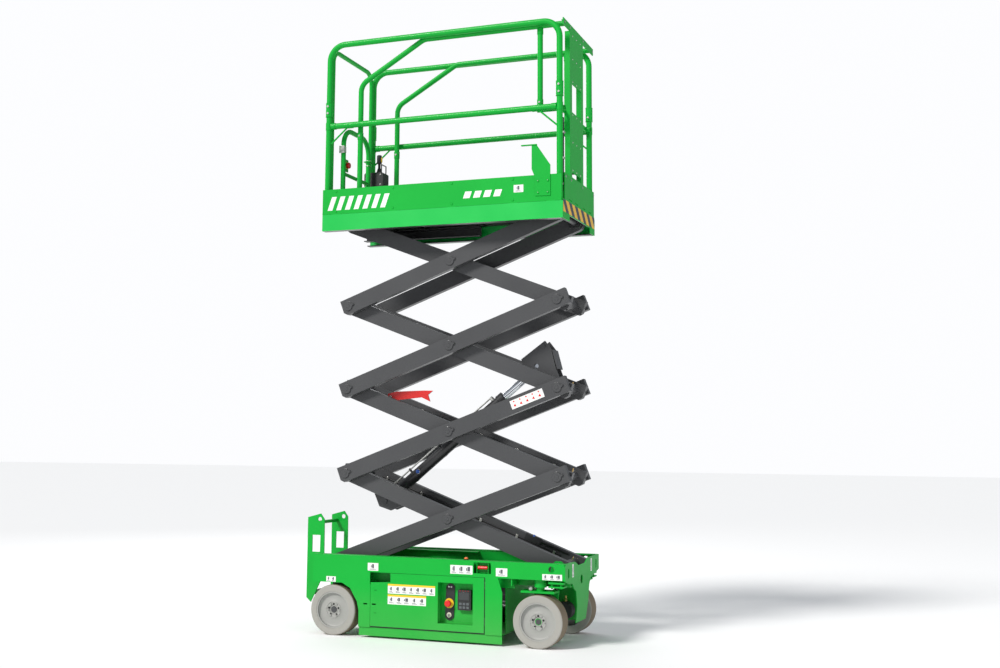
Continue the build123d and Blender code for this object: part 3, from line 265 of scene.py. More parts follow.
# ---------------------------------------------------------------- heights and pivots
# The pivots are taken from the joints of the machine, so nothing added here can drift from them.
# Two functions give places along the arms.
low_right = Vector(joints["lift"]["pos_m"])
top_right = Vector(joints["platform_pivot"]["pos_m"])
low_left = Vector(joints["lower_block_pivot"]["pos_m"])
deck_z = top_right.z
rise = (top_right.z - low_right.z) / 4
arm_run = low_right.x - low_left.x
arm_length = sqrt(arm_run**2 + rise**2)
arm_cos, arm_sin = arm_run / arm_length, rise / arm_length


def on_inner(stage, along, up, y):
    """A point on an inner arm: along it from its lower right pivot, and square to it."""
    x = low_right.x - along * arm_cos + up * arm_sin
    z = low_right.z + (stage - 1) * rise + along * arm_sin + up * arm_cos
    return Vector((x, y, z))


def on_outer(stage, along, up, y):
    """A point on an outer arm: along it from its lower left pivot, and square to it."""
    x = low_left.x + along * arm_cos - up * arm_sin
    z = low_right.z + (stage - 1) * rise + along * arm_sin + up * arm_cos
    return Vector((x, y, z))


# ---------------------------------------------------------------- welds, nipples and caps on the arms
# The cross tubes are welded round to the inner arms. Each pivot has a grease nipple, and each arm
# end a pressed cap.
brass = surface("brass", (0.72, 0.50, 0.20), 0.3, metal=1.0)


def place_piece(name, form, material, body, smooth_angle=35, bevel=0.0):
    """Turns a finished form into a piece that rides on a body."""
    mesh = bpy.data.meshes.new(name)
    form.to_mesh(mesh)
    form.free()
    mesh.materials.append(material)
    for face in mesh.polygons:
        face.use_smooth = True
    mesh.set_sharp_from_angle(angle=radians(smooth_angle))
    made = bpy.data.objects.new(name, mesh)
    bpy.context.scene.collection.objects.link(made)
    if bevel:
        edge = made.modifiers.new("edges", "BEVEL")
        edge.width = bevel
        edge.segments = 2
        edge.limit_method = "ANGLE"
    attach(made, body)
    return made


def add_round(form, start, end, radius, segments=24, end_radius=None):
    """Adds a round or many-sided bar, or a cone, between two points."""
    start, end = Vector(start), Vector(end)
    direction = end - start
    matrix = Matrix.Translation((start + end) / 2) @ direction.to_track_quat("Z", "Y").to_matrix().to_4x4()
    bmesh.ops.create_cone(
        form,
        cap_ends=True,
        segments=segments,
        radius1=radius,
        radius2=radius if end_radius is None else end_radius,
        depth=direction.length,
        matrix=matrix,
    )


def add_ring(form, middle, axis, radius, thickness, around=40, section=8):
    """Adds a ring of round section, such as a weld bead or a seal."""
    middle, axis = Vector(middle), Vector(axis).normalized()
    side = axis.orthogonal().normalized()
    other = axis.cross(side)
    loops = []
    for step in range(around):
        angle = 2 * pi * step / around
        out = side * cos(angle) + other * sin(angle)
        loop = []
        for cut in range(section):
            turn = 2 * pi * cut / section
            reach = out * (radius + thickness * cos(turn))
            loop.append(form.verts.new(middle + reach + axis * thickness * sin(turn)))
        loops.append(loop)
    for step in range(around):
        near_loop, far_loop = loops[step], loops[(step + 1) % around]
        for cut in range(section):
            following = (cut + 1) % section
            form.faces.new((near_loop[cut], far_loop[cut], far_loop[following], near_loop[following]))


for stage in range(1, 5):
    beads = bmesh.new()
    for along in (0, arm_length):
        for side in (-1, 1):
            add_ring(beads, on_inner(stage, along, 0, side * 0.1305), (0, 1, 0), 0.0295, 0.0035)
    place_piece(f"hub_welds_{stage}", beads, dark, f"inner_{stage}")
    fittings = bmesh.new()
    for along in (0, arm_length):
        foot = on_inner(stage, along, 0.028, 0.06)
        tip = on_inner(stage, along, 0.041, 0.06)
        add_round(fittings, foot, tip, 0.0045, 6)
        add_round(fittings, tip, on_inner(stage, along, 0.049, 0.06), 0.003, 12, 0.0018)
    place_piece(f"grease_nipples_{stage}", fittings, brass, f"inner_{stage}")
    rims = bmesh.new()
    for along in (arm_length / 2, arm_length, 0):
        if stage == 1 and along == 0:
            continue
        for side in (-1, 1):
            add_ring(rims, on_outer(stage, along, 0, side * 0.2324), (0, 1, 0), 0.030, 0.002)
            face = on_outer(stage, along, 0, side * 0.2379)
            add_round(rims, face, face + Vector((0, side * 0.0022, 0)), 0.013, 24, 0.011)
    place_piece(f"pivot_rims_{stage}", rims, dark, f"outer_{stage}")

# ---------------------------------------------------------------- harness along the arms
# Three cables climb the machine in a flat trunk, clipped to the inside of the far inner arms. The
# trunk stops short of each arm's middle and end pivots.
for stage in range(1, 5):
    trunk = bmesh.new()
    for up in (-0.012, 0.0, 0.012):
        add_round(trunk, on_inner(stage, 0.10, up, 0.1255), on_inner(stage, 0.70, up, 0.1255), 0.0055, 12)
        add_round(trunk, on_inner(stage, 0.80, up, 0.1255), on_inner(stage, 1.40, up, 0.1255), 0.0055, 12)
    place_piece(f"harness_{stage}", trunk, black_plastic, f"inner_{stage}")
    clips = bmesh.new()
    for along in (0.14, 0.40, 0.66, 0.84, 1.10, 1.36):
        foot = [on_inner(stage, along + a, b, 0.1185) for a, b in ((-0.009, -0.022), (0.009, 0.022))]
        middle = (foot[0] + foot[1]) / 2
        turn = Matrix.Rotation(atan2(rise, arm_run), 4, "Y")
        matrix = Matrix.Translation(middle) @ turn @ Matrix.Diagonal((0.016, 0.003, 0.044, 1))
        bmesh.ops.create_cube(clips, size=1, matrix=matrix)
    place_piece(f"harness_clips_{stage}", clips, zinc, f"inner_{stage}", bevel=0.0006)

# ---------------------------------------------------------------- height sensor
# A black sensor with a blue cap sits inside the lowest far arm, and its lead runs down to the
# chassis in corrugated conduit.
blue = surface("blue_plastic", (0.02, 0.10, 0.45), 0.4)
rubber = surface("seal_rubber", (0.010, 0.010, 0.011), 0.75, peel=0.3)
sensor = bmesh.new()
turn = Matrix.Rotation(atan2(rise, arm_run), 4, "Y")
sensor_size = Matrix.Diagonal((0.110, 0.014, 0.040, 1))
matrix = Matrix.Translation(on_inner(1, 0.295, 0.036, 0.1240)) @ turn @ sensor_size
bmesh.ops.create_cube(sensor, size=1, matrix=matrix)
place_piece("height_sensor", sensor, black_plastic, "inner_1", bevel=0.003)
dome = bmesh.new()
add_round(dome, on_inner(1, 0.295, 0.050, 0.1240), on_inner(1, 0.295, 0.0615, 0.1240), 0.0095, 24, 0.006)
place_piece("sensor_cap", dome, blue, "inner_1", bevel=0.001)
lead = bmesh.new()
for index in range(34):
    place = on_inner(1, 0.228 - index * 0.0052, 0.038, 0.1240)
    add_ring(lead, place, on_inner(1, 0, 0, 0) - on_inner(1, 1, 0, 0), 0.0052, 0.0022, 20, 6)
add_round(lead, on_inner(1, 0.242, 0.038, 0.1240), on_inner(1, 0.052, 0.038, 0.1240), 0.0052, 20)
place_piece("sensor_lead", lead, rubber, "inner_1")

# ---------------------------------------------------------------- lift cylinder
# Wiper and gland rings, two ports with a hard pipe between them, pipe clips, and the blue-capped
# valve on the side of the barrel.
lower_pin = Vector(joints["cylinder_base_pivot"]["pos_m"])
stroke_axis = Vector(joints["cylinder_stroke"]["axis"]).normalized()
stroke_up = Vector((0, 1, 0)).cross(stroke_axis) * -1
if stroke_up.z < 0:
    stroke_up = -stroke_up


def on_cylinder(along, up, y=0.0):
    return lower_pin + stroke_axis * along + stroke_up * up + Vector((0, y, 0))


gland = bmesh.new()
add_ring(gland, on_cylinder(1.035, 0), stroke_axis, 0.0265, 0.0035)
add_ring(gland, on_cylinder(0.996, 0), stroke_axis, 0.0385, 0.0020)
add_ring(gland, on_cylinder(1.030, 0), stroke_axis, 0.0372, 0.0018)
add_ring(gland, on_cylinder(0.048, 0), stroke_axis, 0.0350, 0.0030)
place_piece("cylinder_rings", gland, black, "cylinder_barrel")
ports = bmesh.new()
for along in (0.085, 0.965):
    add_round(ports, on_cylinder(along, 0.030), on_cylinder(along, 0.050), 0.013, 24)
    add_round(ports, on_cylinder(along, 0.050), on_cylinder(along, 0.058), 0.0105, 6)
place_piece("cylinder_ports", ports, zinc, "cylinder_barrel")
pipe = bmesh.new()
add_round(pipe, on_cylinder(0.085, 0.054), on_cylinder(0.965, 0.054), 0.005, 16)
place_piece("cylinder_pipe", pipe, zinc, "cylinder_barrel")
clips = bmesh.new()
for along in (0.25, 0.50, 0.75):
    add_round(clips, on_cylinder(along - 0.008, 0), on_cylinder(along + 0.008, 0), 0.0365, 48)
    add_round(clips, on_cylinder(along, 0.034), on_cylinder(along, 0.062), 0.0075, 16)
place_piece("pipe_clips", clips, black, "cylinder_barrel")
valve = bmesh.new()
add_round(valve, on_cylinder(0.30, 0, -0.030), on_cylinder(0.30, 0, -0.042), 0.016, 6)
add_round(valve, on_cylinder(0.30, 0, -0.042), on_cylinder(0.30, 0, -0.050), 0.012, 24)
place_piece("lowering_valve", valve, zinc, "cylinder_barrel")
cap = bmesh.new()
add_round(cap, on_cylinder(0.30, 0, -0.048), on_cylinder(0.30, 0, -0.056), 0.0135, 24, 0.011)
place_piece("valve_cap", cap, blue, "cylinder_barrel", bevel=0.0015)

# ---------------------------------------------------------------- labels without words
# Every label is a printed white film stuck on the paint. It has plain grey pictogram blocks, and
# the ones on the doors have a yellow head band.
yellow = surface("yellow_plastic", (0.86, 0.55, 0.02), 0.42)
label_white = surface("label_white", (0.82, 0.82, 0.80), 0.38, peel=0.0)
label_grey = surface("label_print", (0.10, 0.11, 0.12), 0.45, peel=0.0)


def add_box(form, low, high):
    """Adds a box between two corners."""
    middle = (Vector(low) + Vector(high)) / 2
    size = Vector(high) - Vector(low)
    matrix = Matrix.Translation(middle) @ Matrix.Diagonal((*size, 1))
    bmesh.ops.create_cube(form, size=1, matrix=matrix)


def label(name, corner, width, height, body, facing="near", cells=4, header=True):
    """A label on a face: corner is its low left corner as seen from outside."""
    corner = Vector(corner)
    across, out = {
        "near": (Vector((1, 0, 0)), Vector((0, -1, 0))),
        "far": (Vector((-1, 0, 0)), Vector((0, 1, 0))),
        "front": (Vector((0, 1, 0)), Vector((1, 0, 0))),
    }[facing]
    rise_by = Vector((0, 0, 1))

    def patch(form, left, right, low, high, depth):
        a = corner + across * left + rise_by * low
        b = corner + across * right + rise_by * high + out * depth
        lows = [min(a[i], b[i]) for i in range(3)]
        highs = [max(a[i], b[i]) for i in range(3)]
        add_box(form, lows, highs)

    base = bmesh.new()
    patch(base, 0, width, 0, height, 0.00016)
    place_piece(f"{name}_base", base, label_white, body)
    if header:
        band = bmesh.new()
        patch(band, 0, width, height * 0.80, height, 0.00024)
        place_piece(f"{name}_band", band, yellow, body)
    print_form = bmesh.new()
    pitch = width / cells
    top = height * (0.70 if header else 0.85)
    for cell in range(cells):
        left = cell * pitch + pitch * 0.18
        middle = cell * pitch + pitch * 0.5
        patch(print_form, left, left + pitch * 0.64, height * 0.12, height * 0.17, 0.00030)
        patch(print_form, left, left + pitch * 0.46, height * 0.22, height * 0.26, 0.00030)
        bar = pitch * (0.10 + 0.04 * (cell % 3))
        patch(print_form, middle - bar, middle + bar, height * 0.34, top, 0.00030)
        patch(print_form, middle - bar * 2, middle - bar * 1.3, height * 0.40, top * 0.85, 0.00030)
    place_piece(f"{name}_print", print_form, label_grey, body)


near_y = -0.370
label("door_label_upper", (-0.229, near_y, 0.270), 0.310, 0.057, "near_door", cells=7)
label("door_label_lower", (-0.229, near_y, 0.207), 0.252, 0.057, "near_door", cells=5)
label("chassis_label_latch", (-0.366, near_y, 0.401), 0.071, 0.046, "chassis", cells=1, header=False)
label("chassis_label_release", (0.178, near_y, 0.406), 0.142, 0.051, "chassis", cells=3, header=False)
label("chassis_label_lift", (0.467, near_y, 0.403), 0.071, 0.047, "chassis", cells=1, header=False)
label("chassis_label_tie", (-0.648, near_y, 0.323), 0.065, 0.032, "chassis", cells=2, header=False)
label("chassis_label_front", (0.753, near_y, 0.394), 0.120, 0.034, "chassis", cells=3, header=False)
label("far_label", (0.10, 0.370, 0.270), 0.310, 0.057, "far_door", "far", cells=7)
label("front_label_near", (0.892, -0.225, 0.400), 0.030, 0.076, "chassis", "front", cells=1, header=False)
label("front_label_far", (0.892, 0.175, 0.400), 0.030, 0.076, "chassis", "front", cells=1, header=False)
label("toe_label", (0.566, -0.360, deck_z + 0.114), 0.062, 0.046, "platform", cells=1, header=False)

# The arm's label lies along the second outer arm, so it is turned to the arm's own slope.
arm_slope = Matrix.Rotation(-atan2(rise, arm_run), 4, "Y")
arm_label = bmesh.new()
arm_label_size = Matrix.Diagonal((0.22, 0.0004, 0.054, 1))
matrix = Matrix.Translation(on_outer(2, 1.30, 0.003, -0.2321)) @ arm_slope @ arm_label_size
bmesh.ops.create_cube(arm_label, size=1, matrix=matrix)
place_piece("arm_label_base", arm_label, label_white, "outer_2")
arm_print = bmesh.new()
for index in range(5):
    along = 1.215 + index * 0.042
    for up, size, sides in ((-0.006, 0.011, 3), (0.019, 0.006, 4)):
        foot, tip = on_outer(2, along, up, -0.2320), on_outer(2, along, up, -0.2326)
        add_round(arm_print, foot, tip, size, sides)
place_piece("arm_label_print", arm_print, red_plastic, "outer_2")

# Plain slanted bars stand on the toeboards where such machines carry their maker's lettering.
for side, name in ((-1, "near"), (1, "far")):
    flash = bmesh.new()
    bars = [(-0.700 + index * 0.062, 0.075, 0.034, 0.088) for index in range(7)]
    bars += [(0.235 + index * 0.066, 0.098, 0.044, 0.042) for index in range(4)]
    lean = Matrix(((1, 0, 0.35, 0), (0, 1, 0, 0), (0, 0, 1, 0), (0, 0, 0, 1)))
    for left, low, width, height in bars:
        middle = Vector((left + width / 2 + height * 0.175, side * 0.3601, deck_z + low + height / 2))
        matrix = Matrix.Translation(middle) @ lean @ Matrix.Diagonal((width, 0.0003, height, 1))
        bmesh.ops.create_cube(flash, size=1, matrix=matrix)
    place_piece(f"toe_flash_{name}", flash, label_white, "platform")

# ---------------------------------------------------------------- hazard stripes
# A printed film wraps the front edge of the sliding deck. Its slanted bands of yellow and navy are
# painted by their height and their place across the deck.
def stripe_material():
    made = surface("hazard_stripes", (0.9, 0.9, 0.9), 0.4, coat=0.2)
    tree = made.node_tree
    shader = tree.nodes["Principled BSDF"]
    place = tree.nodes.new("ShaderNodeTexCoord")
    split = tree.nodes.new("ShaderNodeSeparateXYZ")
    slant = tree.nodes.new("ShaderNodeMath")
    slant.operation = "ADD"
    pitch = tree.nodes.new("ShaderNodeMath")
    pitch.operation = "DIVIDE"
    pitch.inputs[1].default_value = 0.13
    part = tree.nodes.new("ShaderNodeMath")
    part.operation = "FRACT"
    band = tree.nodes.new("ShaderNodeMath")
    band.operation = "GREATER_THAN"
    band.inputs[1].default_value = 0.5
    bands = tree.nodes.new("ShaderNodeMix")
    bands.data_type = "RGBA"
    bands.inputs["A"].default_value = (0.86, 0.50, 0.015, 1)
    bands.inputs["B"].default_value = (0.012, 0.018, 0.035, 1)
    tree.links.new(place.outputs["Object"], split.inputs["Vector"])
    tree.links.new(split.outputs["Y"], slant.inputs[0])
    tree.links.new(split.outputs["Z"], slant.inputs[1])
    tree.links.new(slant.outputs["Value"], pitch.inputs[0])
    tree.links.new(pitch.outputs["Value"], part.inputs[0])
    tree.links.new(part.outputs["Value"], band.inputs[0])
    tree.links.new(band.outputs["Value"], bands.inputs["Factor"])
    tree.links.new(bands.outputs["Result"], shader.inputs["Base Color"])
    return made


hazard = stripe_material()


def boxes(name, pairs, material, body, bevel=0.001):
    form = bmesh.new()
    for low, high in pairs:
        add_box(form, low, high)
    return place_piece(name, form, material, body, bevel=bevel)


beam_low, beam_high = deck_z - 0.019, deck_z + 0.063
boxes(
    "hazard_band",
    [((0.8769, -0.350, beam_low + 0.004), (0.8774, 0.352, beam_high - 0.004))],
    hazard,
    "extension",
    bevel=0.0,
)

# ---------------------------------------------------------------- bay doors
# Each door has two hinge pins at its front edge, two slotted quarter-turn locks near its rear edge,
# a rubber seal in the gap round it, and dark strips of painted shadow along its front and lower
# edges.
for side, name, body in ((-1, "near", "near_door"), (1, "far", "far_door")):
    face = side * 0.3700
    locks = bmesh.new()
    for z in (0.150, 0.285):
        add_round(locks, (-0.312, face - side * 0.004, z), (-0.312, face - side * 0.0002, z), 0.013, 32)
    place_piece(f"door_locks_{name}", locks, zinc, body, bevel=0.0008)
    slit_y = sorted((face, face - side * 0.001))
    slits = [((-0.320, slit_y[0], z - 0.0015), (-0.304, slit_y[1], z + 0.0015)) for z in (0.150, 0.285)]
    boxes(f"door_lock_slits_{name}", slits, black, body, bevel=0.0)
    seal_y = sorted((side * 0.3665, side * 0.3635))
    seal = []
    for x, z in (((-0.3470, -0.3450), (0.067, 0.331)), ((0.3980, 0.4000), (0.067, 0.390))):
        seal.append(((x[0], seal_y[0], z[0]), (x[1], seal_y[1], z[1])))
    seal.append(((-0.2130, seal_y[0], 0.3902), (0.3980, seal_y[1], 0.3918)))
    seal.append(((-0.3450, seal_y[0], 0.0634), (0.3980, seal_y[1], 0.0666)))
    boxes(f"door_seal_{name}", seal, rubber, "chassis", bevel=0.0)
    slot_y = sorted((face, face - side * 0.0006))
    slots_cut = [((x, slot_y[0], 0.197), (x + 0.026, slot_y[1], 0.205)) for x in (-0.392, -0.334)]
    boxes(f"latch_slots_{name}", slots_cut[:1], rubber, "chassis", bevel=0.0)
    boxes(f"latch_tongue_{name}", slots_cut[1:], rubber, body, bevel=0.0)
    # Thin dark strips on the door's front and lower edges are painted shadow lines from the gap.
    shadow_line_y = sorted((face, face + side * 0.0002))
    painted_shadow_lines = [((0.3935, shadow_line_y[0], 0.068), (0.3978, shadow_line_y[1], 0.389))]
    painted_shadow_lines.append(((-0.3440, shadow_line_y[0], 0.0672), (0.3935, shadow_line_y[1], 0.0708)))
    boxes(f"door_shadow_line_{name}", painted_shadow_lines, rubber, body, bevel=0.0)
    hinge_form = bmesh.new()
    pin_y = side * 0.3640
    for z in (0.137, 0.345):
        add_round(hinge_form, (0.397, pin_y, z - 0.022), (0.397, pin_y, z + 0.022), 0.0032, 16)
    place_piece(f"door_hinges_{name}", hinge_form, zinc, body)

# ---------------------------------------------------------------- ground controls
# In the recess: yellow ring under the stop button, screws, the display with its screen, keys and
# status lamps.
glass_dark = surface("screen_glass", (0.012, 0.016, 0.018), 0.08, coat=0.6, peel=0.0, spread=0.02)
cream = surface("cream_plastic", (0.70, 0.66, 0.52), 0.4)


def add_bolt(form, point, axis, size=0.008):
    """Adds a hexagon bolt head on a round washer, standing out along an axis."""
    point, axis = Vector(point), Vector(axis).normalized()
    add_round(form, point, point + axis * size * 0.18, size * 1.25, 20)
    add_round(form, point + axis * size * 0.18, point + axis * size * 0.85, size * 0.95, 6)
    add_round(form, point + axis * size * 0.85, point + axis * size * 0.98, size * 0.55, 12)


def bolts(name, places, axis, body, size=0.008):
    form = bmesh.new()
    for point in places:
        add_bolt(form, point, axis, size)
    return place_piece(name, form, zinc, body, smooth_angle=25)


panel_face = -0.318
stop_ring = bmesh.new()
add_round(stop_ring, (0.153, panel_face, 0.226), (0.153, panel_face - 0.0025, 0.226), 0.029, 48)
place_piece("stop_ring", stop_ring, yellow, "near_door", bevel=0.0006)
key_ring = bmesh.new()
add_round(key_ring, (0.153, panel_face, 0.157), (0.153, panel_face - 0.003, 0.157), 0.015, 36)
place_piece("key_ring", key_ring, cream, "near_door", bevel=0.0006)
screw_places = [(x, panel_face, 0.322) for x in (0.150, 0.166)]
bolts("panel_screws", screw_places, (0, -1, 0), "near_door", 0.004)
display_face = -0.338
bezel = bmesh.new()
add_box(bezel, (0.220, display_face - 0.002, 0.246), (0.292, display_face + 0.0005, 0.300))
place_piece("display_bezel", bezel, black, "near_door", bevel=0.001)
boxes(
    "display_screen",
    [((0.225, display_face - 0.0026, 0.252), (0.287, display_face - 0.0015, 0.294))],
    glass_dark,
    "near_door",
    bevel=0.0004,
)
keys = bmesh.new()
for column in range(3):
    for row in range(2):
        left = 0.224 + column * 0.023
        low = 0.200 + row * 0.021
        add_box(keys, (left, display_face - 0.0022, low), (left + 0.017, display_face + 0.0005, low + 0.014))
place_piece("display_keys", keys, label_grey, "near_door", bevel=0.0008)
lamps = bmesh.new()
for column in range(4):
    middle = (0.230 + column * 0.017, display_face - 0.0018, 0.304)
    add_round(lamps, (middle[0], display_face + 0.0005, 0.3045), middle, 0.0022, 16)
place_piece("status_lamps", lamps, red_plastic, "near_door")
recess_rim = [
    ((0.0950, -0.36995, 0.1070), (0.3270, -0.3690, 0.1105)),
    ((0.0950, -0.36995, 0.3515), (0.3270, -0.3690, 0.3550)),
]
boxes("recess_rim", recess_rim, dark, "near_door", bevel=0.0004)

# ---------------------------------------------------------------- chassis fasteners and trim
# Hexagon heads and nuts along the side plates, bolts at the end plate and the ladder, grip strips
# on the steps, an amber beacon, and a cap over each kingpin.
side_bolts = [(x, 0.450) for x in (-0.700, -0.470, 0.300, 0.470)] + [(0.620, 0.455), (0.862, 0.420)]
for side, name in ((-1, "near"), (1, "far")):
    inner_points = [(x, side * 0.3640, z) for x, z in side_bolts]
    bolts(f"inner_nuts_{name}", inner_points, (0, -side, 0), "chassis", 0.008)
    heads = bmesh.new()
    for x, z in side_bolts:
        add_round(heads, (x, side * 0.3655, z), (x, side * 0.36995, z), 0.0075, 6)
    place_piece(f"side_heads_{name}", heads, zinc, "chassis")
end_bolts = [(0.8835, y, z) for y in (-0.335, 0.335) for z in (0.412, 0.470)]
bolts("end_plate_bolts", end_bolts, (-1, 0, 0), "chassis", 0.008)
bolts("ladder_bolts_near", [(-0.758, -0.1700, z) for z in (0.345, 0.375)], (0, -1, 0), "chassis", 0.008)
bolts("ladder_bolts_far", [(-0.758, 0.1700, z) for z in (0.345, 0.375)], (0, 1, 0), "chassis", 0.008)
treads = bmesh.new()
for z in (0.234, 0.434):
    for index in range(12):
        y = -0.150 + index * 0.0262
        add_box(treads, (-0.860, y, z), (-0.816, y + 0.012, z + 0.0016))
place_piece("step_grip", treads, black_plastic, "chassis", bevel=0.0004)
lamp = bmesh.new()
add_round(lamp, (0.270, -0.346, 0.488), (0.270, -0.346, 0.493), 0.014, 32)
place_piece("beacon_base", lamp, black_plastic, "chassis", bevel=0.0006)
amber = surface("amber_lens", (0.85, 0.16, 0.01), 0.2, coat=0.5, peel=0.0)
lens = bmesh.new()
add_round(lens, (0.270, -0.346, 0.493), (0.270, -0.346, 0.503), 0.0125, 32, 0.009)
place_piece("beacon_lens", lens, amber, "chassis", bevel=0.001)
caps = bmesh.new()
for side in (-1, 1):
    add_round(caps, (0.724, side * 0.310, 0.3965), (0.724, side * 0.310, 0.4035), 0.022, 32)
    add_round(caps, (0.724, side * 0.310, 0.4035), (0.724, side * 0.310, 0.4120), 0.004, 12)
place_piece("kingpin_caps", caps, zinc, "chassis", bevel=0.0008)

# ---------------------------------------------------------------- running gear
# Nuts on the tie rod's pins, a cable gland and cooling fins on each drive motor. Each wheel has a
# pressed disc with two beads, a dark ring of painted shade where the disc meets the tyre, a hub nut
# and five studs.
axle_z, rear_axle_x, front_axle_x = 0.1525, -0.600, 0.724
kingpin_y = 0.310
link_nuts = bmesh.new()
for side in (-1, 1):
    add_round(link_nuts, (0.664, side * kingpin_y, 0.3418), (0.664, side * kingpin_y, 0.3455), 0.011, 6)
place_piece("tie_rod_nuts", link_nuts, zinc, "steering_link")
for side, name in ((-1, "near"), (1, "far")):
    body = f"{name}_knuckle"
    fins = bmesh.new()
    for index in range(6):
        y = side * (0.184 + index * 0.008)
        add_ring(fins, (front_axle_x, y, axle_z), (0, 1, 0), 0.0525, 0.0018)
    place_piece(f"motor_fins_{name}", fins, dark, body)
    outlet = bmesh.new()
    add_round(outlet, (front_axle_x, side * 0.200, 0.200), (front_axle_x, side * 0.200, 0.226), 0.011, 6)
    add_round(outlet, (front_axle_x, side * 0.200, 0.226), (front_axle_x, side * 0.200, 0.240), 0.007, 16)
    place_piece(f"motor_gland_{name}", outlet, brass, body)
# Radius and distance from the middle plane, from the tyre in to the hub, then along the back
dish_line = [(0.1035, 0.3600), (0.0990, 0.3535), (0.0930, 0.3500), (0.0600, 0.3525), (0.0500, 0.3560)]
dish_line += [(0.0490, 0.3500), (0.0490, 0.3482), (0.1035, 0.3482)]
for end, x in (("rear", rear_axle_x), ("front", front_axle_x)):
    for side, name in ((-1, "near"), (1, "far")):
        body = f"{end}_{name}_wheel"
        dish = bmesh.new()
        ring_edge = [dish.verts.new((x + r, side * y, axle_z)) for r, y in dish_line]
        loop_edges = [dish.edges.new((ring_edge[i - 1], ring_edge[i])) for i in range(len(ring_edge))]
        bmesh.ops.spin(
            dish,
            geom=ring_edge + loop_edges,
            cent=(x, 0, axle_z),
            axis=(0, 1, 0),
            angle=2 * pi,
            steps=64,
            use_merge=True,
        )
        bmesh.ops.recalc_face_normals(dish, faces=dish.faces)
        place_piece(f"wheel_dish_{end}_{name}", dish, rim_grey, body, smooth_angle=50)
        seal = bmesh.new()
        add_ring(seal, (x, side * 0.3557, axle_z), (0, 1, 0), 0.0475, 0.0022)
        add_ring(seal, (x, side * 0.3508, axle_z), (0, 1, 0), 0.0235, 0.0022)
        place_piece(f"wheel_rings_{end}_{name}", seal, rim_grey, body)
        # A thin dark ring at the rim's edge is painted shade: the shadow where the dish meets the tyre.
        painted_shadow_ring = bmesh.new()
        add_ring(painted_shadow_ring, (x, side * 0.3600, axle_z), (0, 1, 0), 0.1045, 0.0018, 64)
        place_piece(f"wheel_shadow_ring_{end}_{name}", painted_shadow_ring, rubber, body)
        hub = bmesh.new()
        add_round(hub, (x, side * 0.3490, axle_z), (x, side * 0.3535, axle_z), 0.0175, 6)
        for index in range(5):
            turn = radians(72 * index + 18)
            stud_x, stud_z = x + 0.0345 * cos(turn), axle_z + 0.0345 * sin(turn)
            add_round(hub, (stud_x, side * 0.3490, stud_z), (stud_x, side * 0.3560, stud_z), 0.0068, 6)
        place_piece(f"wheel_nut_{end}_{name}", hub, dark, body)

# ---------------------------------------------------------------- safety prop
# The red prop turns on a zinc bolt through the second inner arm. The bolt and its hexagon head stay
# with the arm.
prop_pivot = on_inner(2, 1.240, 0.048, -0.1315)
prop_bolt = bmesh.new()
add_round(prop_bolt, prop_pivot + Vector((0, 0.010, 0)), prop_pivot + Vector((0, 0.016, 0)), 0.013, 6)
add_round(prop_bolt, prop_pivot + Vector((0, 0.000, 0)), prop_pivot + Vector((0, 0.012, 0)), 0.0095, 24)
place_piece("prop_bolt", prop_bolt, zinc, "inner_2")

